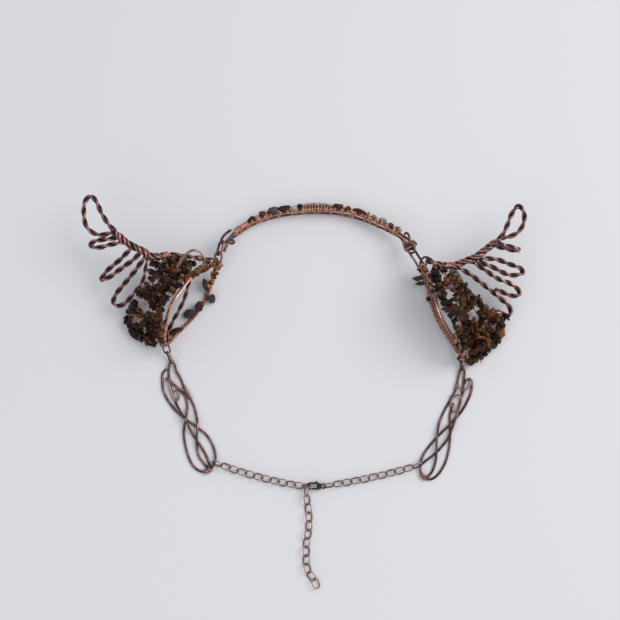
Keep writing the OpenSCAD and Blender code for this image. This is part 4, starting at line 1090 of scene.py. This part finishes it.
left_threads = [tube(net_thread(route), net_wire / 2, 8) for route in left_net]
right_threads = [tube(net_thread(route), net_wire / 2, 8) for route in right_net]
arc_pair = [tube(smooth_route(left_arc, 6) + offset, arc_wire / 2, 12)
            for offset in ([0, 0, 0], [0.5, -0.8, 0.3])]
for name, node, tubes, finish, slot in (
        ("left_net_threads", "left_net_wires", left_threads, plain_bright_copper, "bright_copper"),
        ("right_net_threads", "right_net_wires", right_threads, plain_bright_copper, "bright_copper"),
        ("left_arc_wire", "left_net_wires", arc_pair, plain_copper, "antique_copper")):
    piece = wire_piece(name, tubes, finish)
    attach(piece, "diadem")
    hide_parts(node)

# The lacing of the nets, and their stones
# Thinner wires wander between the threads, with a small chip strung at each bend. Each net has a
# few openings that the chips leave free, and the right one ends along a clean edge.
lacing_wire = 0.4
bend_step = 2.3
chip_step = {"left": 1.95, "right": 2.1}
lowest_chip = 2.4
# An opening: its middle, half its length, half its width and its turn
left_holes = [
    (-91.2, 64.2, 3, 1, 25), (-86.6, 35.6, 1.6, 1, 90), (-85, 50.4, 1.2, 0.9, 0),
    (-97.6, 51.6, 7, 3.3, -40), (-103.2, 45, 3.2, 1.8, -50), (-89.4, 46.3, 2, 1.2, -20),
    (-97.2, 37.8, 1.6, 0.6, -60), (-90.6, 73.6, 1.6, 0.9, 0)
]
right_holes = [
    (84.2, 67.6, 3.8, 2.5, 25), (87.1, 54.8, 1.9, 1.7, 0), (92.2, 49.9, 1.5, 1.2, 0),
    (105, 49.6, 1.9, 1.3, -30), (102.1, 44.8, 3.1, 2.4, 0), (87, 37.6, 7.4, 1.6, -60),
    (88.4, 57.6, 1.6, 1.2, 0), (93.3, 37.8, 2.2, 2, 0), (115.9, 39.8, 1, 1.5, 0),
    (111.2, 42.9, 0.9, 0.9, 0)
]
right_edge = [
    [103, 15], [107, 18], [110, 21.6], [112.6, 25], [117, 28.6], [121, 32.4], [124, 37.6],
    [127, 47.4], [118.4, 48.8], [111.4, 50.8], [105.6, 55], [99.4, 60], [95.6, 65.4],
    [92, 71.6], [91, 80]
]
# A lacing wire: the two lines that it wanders between, and how far it is from one to the other
left_top = [[-94, 79, 23.6], [-84, 79.6, 23], [-75, 79.2, 22.6], [-65, 78, 21.6]]
left_under = [[-92.4, 75.4, 21.6], [-84, 76, 22], [-76, 75.6, 22.4], [-68.6, 73.6, 23]]
right_top = [[77, 72, 21.4], [80, 68, 23], [83, 63, 25], [85.6, 58, 27]]
right_under = [[76.6, 66, 24], [78.6, 61, 27], [80.4, 56, 29.4], [82.4, 51, 31]]
right_corner = [[126.4, 50.6, 9], [126.8, 47.8, 8], [124.4, 46, 7.4], [119, 46.6, 8.6]]
right_corner_under = [[124.6, 48.6, 9], [124.6, 46, 8.4], [122.4, 44, 8], [118, 44.6, 8.8]]
left_lacing = [
    (left_net[0], left_net[1], 0.5), (left_net[1], left_net[2], 0.34), (left_net[1], left_net[2], 0.68),
    (left_net[0], left_net[7], 0.5), (left_net[1], left_net[8], 0.5), (left_top, left_under, 0.2),
    (left_top, left_under, 0.7), (left_net[2][3:], left_net[3], 0.36),
    (left_net[2][3:], left_net[3], 0.7), (left_net[2][:3], left_net[6], 0.5),
    (left_net[2][2:6], left_net[1][2:5], 0.5), (left_net[3][3:], left_net[1][6:], 0.4)
]
right_lacing = [
    (right_net[3], right_net[1], 0.5), (right_net[0], right_net[3], 0.5),
    (right_net[1], right_net[2], 0.34), (right_net[1], right_net[2], 0.68),
    (right_net[2], right_net[4], 0.3), (right_net[2], right_net[4], 0.52),
    (right_net[2], right_net[4], 0.76), (right_top, right_under, 0.45),
    (right_net[4][6:], right_net[5], 0.5), (right_net[2][5:], right_net[7], 0.5),
    (right_net[7], right_net[4][6:], 0.5), (right_corner, right_corner_under, 0.5)
]


def from_middle(x, y, hole):
    """How far along an opening, and how far across it, a place is from its middle."""
    middle_x, middle_y, _, _, turn = hole
    a = math.radians(turn)
    return ((x - middle_x) * math.cos(a) + (y - middle_y) * math.sin(a),
            (y - middle_y) * math.cos(a) - (x - middle_x) * math.sin(a))


def in_hole(at, holes):
    """Whether a place is in one of a net's openings, or within a chip's reach of it."""
    chip_reach = 1.6
    for hole in holes:
        along, across = from_middle(at[0], at[1], hole)
        if (along / (hole[2] + chip_reach)) ** 2 + (across / (hole[3] + chip_reach)) ** 2 < 1:
            return True
    return False


def within(at, side):
    """A place moved in to the right net's edge."""
    x, y, z = at
    if side == "right":
        edge_x, edge_y = np.array(right_edge).T
        x = min(x, np.interp(y, edge_y, edge_x) - 0.8)
    return np.array([x, y, z])


def cleared(at, holes):
    """A place moved sideways out of a net's openings."""
    room_along, room_across = 1.5, 1.7
    x, y, z = at
    for hole in holes:
        middle_x, middle_y, long, short, turn = hole
        a = math.radians(turn)
        along, across = from_middle(x, y, hole)
        far = math.hypot(along / (long + room_along), across / (short + room_across))
        if 0 < far < 1:
            across += math.copysign((short + room_across) * (1 - far), across)
            x = middle_x + along * math.cos(a) - across * math.sin(a)
            y = middle_y + along * math.sin(a) + across * math.cos(a)
    return np.array([x, y, z])


def laced(first, second, between, rng):
    """The bends of a lacing wire that wanders between two lines."""
    a, b = smooth_route(first), smooth_route(second)
    count = int(max(distances(a)[-1], distances(b)[-1]) / bend_step)
    at = np.linspace(0.03, 0.97, count)
    swing = np.clip(between + 0.16 * (-1) ** np.arange(count) + rng.normal(size=count) * 0.05, 0.05, 0.95)
    low, high = points_at(a, at * distances(a)[-1]), points_at(b, at * distances(b)[-1])
    return low + (high - low) * swing[:, None] + rng.normal(size=(count, 3)) * 0.3


upper_mix = ["brown", "amber", "black", "olive", "brown", "black", "russet", "brown", "brown", "mauve",
             "black", "black"]
lower_mix = ["black", "brown", "black", "brown", "black", "brown", "olive", "black", "amber", "black",
             "brown", "black"]
golden_mix = ["amber", "brown", "amber", "olive", "amber", "amber", "brown", "amber", "black", "amber",
              "brown", "amber"]
lower_part = {"left": 60, "right": 54}
# A golden place of the right net: its middle and its reach
golden_places = [(94.4, 43.4, 2.6), (108.8, 36.4, 4), (112.6, 48.4, 3.6), (120.6, 37, 3), (91, 66, 3)]
# Stones whose kind shows plainly, each near a place
left_picked = [
    ((-80.5, 55, 31), "pale"), ((-82.3, 78.1, 26), "black"), ((-82.5, 68.8, 29), "black"),
    ((-76.1, 68, 30), "amber"), ((-71.1, 77.2, 27), "mauve"), ((-70.5, 65.6, 31), "russet"),
    ((-87.8, 65.1, 26), "olive")
]
right_picked = [
    ((79.8, 70.8, 24), "black"), ((83.2, 58.8, 27), "black"), ((88.6, 46.8, 27), "brown"),
    ((97.4, 39, 22), "black")
]


def kind_at(at, side, rng):
    """What kind of stone a chip at a place is: darker in the net's lower part, and in the right
    net golden in a few places."""
    mix = upper_mix if at[1] > lower_part[side] else lower_mix
    if side == "right" and any(math.hypot(at[0] - x, at[1] - y) < reach for x, y, reach in golden_places):
        mix = golden_mix
    return mix[rng.integers(0, len(mix))]


for side, seed, net, lacing, holes, picked in (
        ("left", 3, left_net, left_lacing, left_holes, left_picked),
        ("right", 8, right_net, right_lacing, right_holes, right_picked)):
    node = side + "_net_chips"
    rng = np.random.default_rng(seed)
    parts = solid_parts(node)
    middles = np.array([part.mean(axis=0) for part in parts])
    kinds = [kind_at(middle, side, rng) for middle in middles]
    for place, kind in picked:
        kinds[int(np.linalg.norm(middles - np.array(place), axis=1).argmin())] = kind
    chips = []
    for count, (part, middle, kind) in enumerate(zip(parts, middles, kinds)):
        part = part + cleared(within(middle, side), holes) - middle
        chips.append((broken(part, seed * 100 + count, ground=0.26, size=1.02), kind, rng.uniform(0.1, 0.8)))
    piece = stone_piece(side + "_net_stones", chips, False)
    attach(piece, "diadem")
    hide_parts(node)
    laces = [laced(first, second, between, rng) for first, second, between in lacing]
    laces = [np.array([cleared(within(bend, side), holes) for bend in bends]) for bends in laces]
    piece = wire_piece(side + "_net_lacing",
                       [tube(smooth_route(bends, 3), lacing_wire / 2, 6) for bends in laces], bright_copper)
    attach(piece, "diadem")
    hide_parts(side + "_net_wires")
    places = []
    for route in net + laces:
        curve = smooth_route(route)
        at = np.arange(0.8, distances(curve)[-1], chip_step[side])
        places += list(zip(points_at(curve, at), points_at(curve, at + 0.4) - points_at(curve, at)))
    chips = []
    for count, (at, heading) in enumerate(places):
        at = within(at + rng.normal(size=3) * 0.6, side)
        if in_hole(at, holes):
            continue
        at[2] = max(at[2], lowest_chip)
        along = unit(heading + rng.normal(size=3) * 0.12)
        out = unit(np.cross(along, rng.normal(size=3)))
        slim = rng.uniform(0, 1)
        corners = chip_corners(at, 5.6 + 4 * slim, 4.4 - 1.8 * slim, rng.uniform(2, 3), rng,
                               (out, np.cross(along, out), along))
        chips.append((broken(corners, seed * 1000 + count), kind_at(at, side, rng), rng.uniform(0, 0.8)))
    piece = stone_piece(side + "_net_small_stones", chips, False)
    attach(piece, "diadem")
    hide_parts(node)

# The stones along the ear loops
# Flat dark chips, each tied to the ear loop's wire with a few turns of the thin wire. Small chips
# of tiger-eye, jasper and agate are bound round the head of each loop, and more round its top.
loop_chip_thick = 3.6
link_room = 3.6
# A flat chip: its kind, how far it is moved, its length, its width and its turn
loop_chips = {
    "left": [("brown", (0, 0.2, 0), 9.4, 5.4, 100), ("grey", (0.4, 1, 0), 8, 7, 50),
             ("brown", (0, 0, 0), 9.8, 6.2, 55), ("grey", (0.4, -1, 0), 12, 7.4, 12),
             ("brown", (-0.4, -0.8, 0), 13, 5.6, 18)],
    "right": [("olive", (0, 0, 0), 10, 4, 4), ("grey", (0, 0, 0), 7.6, 3.4, 8),
              ("brown", (0.9, 0.2, 0), 4.6, 4.2, 80), ("black", (0, 0, 0), 5, 4, 60)]
}
# A run of small chips: the shares of the loop between which it lies, and how many it has
head_runs = {
    "left": [(0, 0.24, 44), (0.88, 0.99, 8), (0.45, 0.6, 18)],
    "right": [(0, 0.2, 24), (0.95, 0.99, 5), (0.43, 0.57, 14)]
}
head_kinds = {"left": ("amber", "russet", "brown", "amber"), "right": ("olive", "black", "brown", "black")}
top_kinds = ("brown", "russet", "black", "brown")
head_scatter = {"left": 1.15, "right": 0.8}
for side, loop, seed in (("left", left_loop, 50), ("right", right_loop, 60)):
    node = side + "_loop_chips"
    rng = np.random.default_rng(seed + 5)
    parts = sorted(solid_parts(node), key=lambda part: -part[:, 1].mean())
    chips, ties = [], []
    for count, (part, (kind, shift, length, width, turn)) in enumerate(zip(parts, loop_chips[side])):
        middle = part.mean(axis=0) + shift
        turn = math.radians(turn)
        lie = np.array([[math.cos(turn), math.sin(turn), 0.1],
                        [-math.sin(turn), math.cos(turn), 0.2],
                        [0, -0.2, 1]])
        corners = chip_corners(middle, length, width, loop_chip_thick, rng, lie)
        chips.append((tumbled(corners, seed + count, polish=30, size=1.08), kind, 0.15 + 0.1 * (count % 3)))
        s = distances(loop)[np.linalg.norm(loop - middle, axis=1).argmin()]
        near = points_at(loop, [s, s + 0.5])
        hold = near[0] + (middle - near[0]) * 0.55
        path = wrapped([near[0], hold], [core_wire / 2, 1], near[1] - near[0], turns=3.4, pitch=0.5,
                       thin=winding_wire, seed=count)
        ties.append(thin_tube(path, winding_wire, 6))
    piece = stone_piece(side + "_loop_stones", chips)
    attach(piece, "diadem")
    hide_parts(node)
    piece = wire_piece(side + "_loop_ties", ties, bright_copper)
    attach(piece, "diadem")
    rng = np.random.default_rng(seed)
    chips = []
    for count, place in enumerate(np.concatenate([np.linspace(*run) for run in head_runs[side]])):
        scatter = 0.6 if place > 0.8 else head_scatter[side]
        at = points_at(loop, [place * distances(loop)[-1]])[0] + rng.normal(size=3) * scatter
        corners = chip_corners(at, rng.uniform(5, 7), rng.uniform(3.2, 4.4), rng.uniform(2.2, 3.2), rng)
        kinds = top_kinds if 0.4 < place < 0.6 else head_kinds[side]
        chip = (broken(corners, seed * 10 + count), kinds[count % 4], rng.uniform(0.2, 0.7))
        if np.linalg.norm(at - left_shoulder_points[-1]) > link_room:
            chips.append(chip)
    piece = stone_piece(side + "_head_stones", chips, False)
    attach(piece, "diadem")

# The small links under the ear pieces
# Two at each side, of slightly thinner wire, between the ear loop's foot and the knot.
left_drop_points = [[-85.2, 29.35, 9.6], [-83.4, 23.9, 5.8], [-81.3, 18.2, 2.2]]
right_drop_points = [[96.5, 22.2, 8.4], [96.8, 18.3, 5.2], [96.9, 14.3, 2.4]]
drop_wire = 1.1
drop_width = 5
for name, node, points, rolls in (("left_drop_ovals", "left_drop_links", left_drop_points, (12, 68)),
                                  ("right_drop_ovals", "right_drop_links", right_drop_points, (8, 68))):
    tubes = [link_tube(points[k], points[k + 1], rolls[k], drop_width, drop_wire, sides=14) for k in (0, 1)]
    piece = wire_piece(name, tubes, antique_copper)
    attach(piece, "diadem")
    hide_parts(node)

# The woven knots
# Two heavy wires each: one turns over at the top, and the ring wire weaves under and over it.
# Coils of thin wire bind them where they meet, and the ends of other wires curl away from them.
left_knot_route = [
    [-57.6, -47, 2.9], [-58.2, -46.2, 2.2], [-59.2, -45.2, 0.9], [-61, -43, 0.8], [-63.8, -39, 0.8],
    [-65, -33.8, 1.4], [-65.2, -28, 2.4],
    [-64.8, -20.5, 2.4], [-65.5, -15, 1.4], [-67.3, -8.5, 0.8], [-70.2, -2.8, 0.8],
    [-73.6, 3.5, 0.8], [-76, 9, 0.8], [-78.4, 13, 1.1], [-79.4, 16.6, 2.1], [-81.2, 19.6, 2.9],
    [-82.8, 16.8, 2.2], [-83.1, 12, 1], [-82.4, 6, 0.8], [-80.6, -1, 0.8], [-77.6, -8, 1.6],
    [-74.4, -13.6, 3.4], [-72, -17.4, 3.9], [-69.4, -22.6, 2.2], [-66, -28.4, 0.8],
    [-62.7, -33, 0.8], [-59.6, -38.2, 0.8], [-57.8, -42.6, 0.9], [-57, -45, 2.2], [-56.9, -46.4, 3]
]
left_ring_route = [
    [-85, 14.2, 0.8], [-86.8, 11.6, 0.8], [-87, 7, 0.8], [-86, 0.5, 0.8], [-82.6, -6, 0.8],
    [-77.8, -11.8, 0.8], [-71.8, -16.8, 0.8], [-66, -20.8, 0.8], [-59.5, -26, 0.8],
    [-55.4, -32.5, 0.8], [-53.7, -38.5, 1.6], [-54.1, -42.8, 2.5], [-56.4, -46.6, 1.6],
    [-60.8, -48.4, 0.8], [-65.6, -46.4, 0.8], [-69.2, -41.4, 0.8], [-72, -33, 0.8],
    [-73.2, -25, 1], [-72.8, -19.8, 1.8], [-72, -16, 2.4], [-71.4, -12, 1.6], [-71.4, -7.6, 0.8],
    [-72.8, -2.6, 0.8], [-75.6, 0.9, 0.8], [-78.6, 3.8, 1.4], [-82, 6.6, 2.4], [-84.6, 8.6, 1.8]
]
right_knot_route = [
    [73.4, -51.8, 2.3], [74.6, -51.4, 1.9], [76, -50.4, 0.9], [78, -47.6, 0.8], [79.6, -43, 1.4],
    [80.3, -37.5, 2.4], [80.5, -32, 2.4],
    [81, -26.5, 2.4], [82.5, -18.8, 1.4], [85.4, -12, 0.8], [88.8, -5.8, 0.8], [91.8, -0.8, 0.8],
    [94, 6, 0.8], [95.3, 12, 2.1], [96.9, 15.6, 2.9], [98.4, 12.4, 2.2], [98.1, 8.4, 0.9],
    [97.6, 3, 0.8], [96.6, -2.6, 0.8], [94.6, -9, 1.4], [92.8, -15.2, 2.4], [90.4, -21.6, 2.4],
    [88.2, -27, 2.4], [85.2, -31.6, 1.4], [81.4, -35.8, 0.8], [77.8, -38.9, 0.8], [73.2, -42.4, 0.8],
    [71.2, -44, 0.9]
]
right_ring_route = [
    [98.4, 5.2, 2.4], [98.6, 6.8, 1.6], [100, 7.8, 0.8], [101.6, 8.2, 0.8], [102.9, 6.4, 0.8],
    [103, 3.4, 0.8],
    [102.2, -0.4, 0.8], [100.4, -4.6, 0.8], [97.2, -10.4, 0.8], [93.2, -15.4, 0.8],
    [90.6, -18, 1.4], [88.4, -20.3, 2.4], [84.8, -23.8, 1.4], [80.9, -27.6, 0.8],
    [76.4, -32.6, 0.8], [72.4, -38.4, 1.2], [70.5, -43.8, 2.5], [70.6, -48.4, 1.6],
    [73, -52, 0.8], [77.2, -52.8, 0.8], [81.6, -49.6, 0.8], [85.6, -43.2, 0.8], [88, -35.4, 0.8],
    [89, -28.4, 0.8], [89, -20.6, 0.8], [89.2, -13.6, 0.8], [91.2, -6.8, 0.8]
]
knot_wire = 1.52
for name, node, route in (("left_knot_strand", "left_knot_wire", left_knot_route),
                          ("left_knot_hoop", "left_knot_ring", left_ring_route),
                          ("right_knot_strand", "right_knot_wire", right_knot_route),
                          ("right_knot_hoop", "right_knot_ring", right_ring_route)):
    piece = wire_piece(name, [tube(lying(route, knot_wire / 2), knot_wire / 2, 16)], antique_copper)
    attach(piece, "diadem")
    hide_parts(node)

reddened_copper = copper_finish("reddened_copper", (92, 52, 48), (206, 152, 136), wear=-0.05, blotch_size=420)
across_right_knot = [[93.2, 4.6, 1.7], [95, 2.8, 2], [97.2, 0.2, 2]]
knot_coil_wire = 0.42
# A coil: its route, where it starts, its length, its pitch, its reach and its lift
coils = [
    (left_knot_route, (-75.9, 8.8, 1), 5.4, 1, 0.95, 0.3),
    (left_knot_route, (-69.4, -4, 1), 9.4, 1.5, 1.5, 0.6),
    (left_knot_route, (-70.4, -2, 1), 6.4, 1.2, 1, 0.4),
    (left_ring_route, (-56.2, -46.4, 1.6), 4.4, 0.55, 1.6, 0.7),
    (left_ring_route, (-80.4, 5.2, 1.8), 5.2, 0.66, 1, 0.3),
    (right_knot_route, (92.6, 2, 0.9), 4.2, 0.55, 0.95, 0.3),
    (right_ring_route, (70.9, -49.4, 1.4), 5, 0.55, 1.3, 0.5),
    (right_ring_route, (91, -6.4, 0.9), -3, 0.5, 0.95, 0.3),
    (across_right_knot, across_right_knot[0], 5.4, 1, 0.95, 0),
    (right_knot_route, (89.4, -4.8, 0.9), 4.4, 0.95, 1.1, 0.3)
]
knot_coils = []
for route, start, length, pitch, reach, lift in coils:
    curve = smooth_route(route, 12)
    low = distances(curve)[np.linalg.norm(curve - np.array(start), axis=1).argmin()]
    first, last = sorted((low, low + length))
    coil = wound(curve + np.array([0, 0, lift]), first, last, pitch, reach, low)
    knot_coils.append(thin_tube(coil, knot_coil_wire, 6))
# A curl: its route and its wire
left_curl = ([[-82.8, 7, 2.6], [-82, 3, 2], [-80.8, -1.4, 1.5], [-79, -4.8, 1.3], [-77.2, -4.6, 1.4],
              [-76.6, -2, 1.5], [-77.6, 0.6, 1.5], [-79.4, 0.8, 1.5]], 1.4)
right_inner_curl = ([[89.4, -8, 2.2], [90, -5.2, 2.3], [91.6, -3, 2.4], [94, -1.8, 2.5], [96, -3, 2.6],
                     [96.2, -6, 2.8], [94.8, -9.6, 3], [92.8, -12, 2.3], [91.2, -11.8, 2],
                     [90.7, -10, 1.8]], 1.2)
right_outer_curl = ([[97, -2.6, 3.4], [98.6, 0.6, 2.6], [100.6, 2.8, 2.3], [102, 5, 2.3],
                     [101.6, 7, 2.2]], 1.32)
knot_curls = [tube(smooth_route(route, 8), wire / 2, 12)
              for route, wire in (left_curl, right_inner_curl, right_outer_curl)]
for name, tubes, finish, nodes, slot in (
        ("knot_bindings", knot_coils, reddened_copper, ("left_knot_wire", "right_knot_wire"),
         "bright_copper"),
        ("knot_curls", knot_curls, plain_copper, ("left_knot_ring", "right_knot_ring"),
         "antique_copper")):
    piece = wire_piece(name, tubes, finish)
    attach(piece, "diadem")
    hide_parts(*nodes)

# The chains at the back
# Oval links of thin copper wire, each rolled to one side and the other. A chain hangs on each knot,
# and the extension hangs on the clasp's ring and lies on the surface.
chain_wire = 0.8
chain_link_width = 5.2
chain_roll = 36


def spread(seed, low, high):
    """The same scatter as the solids have."""
    v = math.sin(math.radians(seed * 78.233 + 12.9)) * 4375.85
    return low + (high - low) * (v - math.floor(v))


def chain_tubes(points, first_roll, last_roll):
    """The links of a chain. Its two end links have a roll of their own."""
    count = len(points) - 1
    rolls = [(1 if i % 2 == 0 else -1) * (chain_roll + spread(i, -3, 3)) for i in range(count)]
    rolls[0], rolls[-1] = first_roll, last_roll
    return [link_tube(points[i], points[i + 1], rolls[i], chain_link_width, chain_wire, sides=10)
            for i in range(count)]


def run_points(first, last, sag, count):
    """Points where the links of a hanging chain meet."""
    first, last = np.array(first, float), np.array(last, float)
    return [first + (last - first) * t - np.array([0, sag * 4 * t * (1 - t), 0])
            for t in np.arange(count + 1) / count]


clasp_axis = np.array([8.7, -57, 2.65])
ring_r = 2.5
ring_wire = 0.9
ring_roll = 120
eye_r = 1.35
link_inset = 0.55
ring_centre = clasp_axis - np.array([4.75 + ring_r, 0, 0])
eye_centre = clasp_axis + np.array([1.6 + eye_r + 0.2, 0, 0])
ring_side = ring_centre - np.array([ring_r - link_inset, 0.1, 0])
eye_side = eye_centre + np.array([eye_r - link_inset, 0.1, 0])
left_run = run_points([-54.8, -42.6, 2.5], ring_side, sag=1.6, count=11)
right_run = run_points(eye_side, [71.2, -44, 2.5], sag=1.2, count=11)
tail_pitch = 5.1
tail_headings = [-89, -82, -81, -88, -93, -102, -96, -88, -92, -72, -52, -68]
tail_fall = 1.4
tail_rest = 2
front = math.radians(180 - ring_roll)
ring_front = ring_centre + np.array([0, -ring_r * math.cos(front), ring_r * math.sin(front)])
tail_run = [ring_front + np.array([0, 0.5, 0])]
for turn in tail_headings:
    a = math.radians(turn)
    tail_run.append(tail_run[-1] + tail_pitch * np.array([math.cos(a), math.sin(a), 0]))
for i, point in enumerate(tail_run):
    point[2] = max(tail_rest, ring_front[2] - tail_fall * i)
chain_copper = copper_finish("chain_copper", (82, 54, 50), (196, 148, 138), wear=0.06, blotch_size=340)
for name, node, points, rolls in (("left_chain_links", "left_chain", left_run, (62, 36)),
                                  ("right_chain_links", "right_chain", right_run, (62, 62)),
                                  ("extension_links", "extension_chain", tail_run, (64, -24))):
    piece = wire_piece(name, chain_tubes(points, *rolls), chain_copper)
    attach(piece, "diadem")
    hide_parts(node)

# The clasp
# A cast lobster clasp with its jump ring. The lever turns on a pin in the hook's back, and a
# spring inside holds it shut.
tilt = math.radians(ring_roll)
ring_x = np.array([1, 0, 0])
ring_y = np.array([0, math.cos(tilt), math.sin(tilt)])
ring_z = np.array([0, -math.sin(tilt), math.cos(tilt)])
ring_points = np.array([ring_centre + ring_r * (math.cos(a) * ring_x + math.sin(a) * ring_y)
                        for a in np.linspace(0, 2 * np.pi, 49)])
piece = wire_piece("clasp_jump_ring", [tube(ring_points, ring_wire / 2, 14, normal=ring_z)], chain_copper)
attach(piece, "diadem")
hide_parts("clasp_ring")


def cast(name, node, grain):
    """A CAD solid's shape with its edges rounded as a casting's are."""
    piece = bpy.data.objects.new(name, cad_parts[node].data.copy())
    scene.collection.objects.link(piece)
    fine = piece.modifiers.new("fine", "REMESH")
    fine.mode = "VOXEL"
    fine.voxel_size = grain * mm
    soften = piece.modifiers.new("soften", "SMOOTH")
    soften.factor = 0.5
    soften.iterations = 4
    bpy.context.view_layer.update()
    shaped = bpy.data.meshes.new_from_object(piece.evaluated_get(bpy.context.evaluated_depsgraph_get()))
    piece.modifiers.clear()
    piece.data = shaped
    shaped.shade_smooth()
    shaped.materials.clear()
    shaped.materials.append(clasp_copper)
    return piece


clasp_copper = copper_finish("clasp_copper", (44, 31, 35), (156, 116, 112), wear=0.2, blotch_size=700,
                             lines=False)
piece = cast("clasp_body", "clasp_hook", grain=0.09)
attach(piece, "diadem")
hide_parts("clasp_hook")
piece = cast("clasp_thumb_lever", "clasp_lever", grain=0.07)
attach(piece, "lever")
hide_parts("clasp_lever")
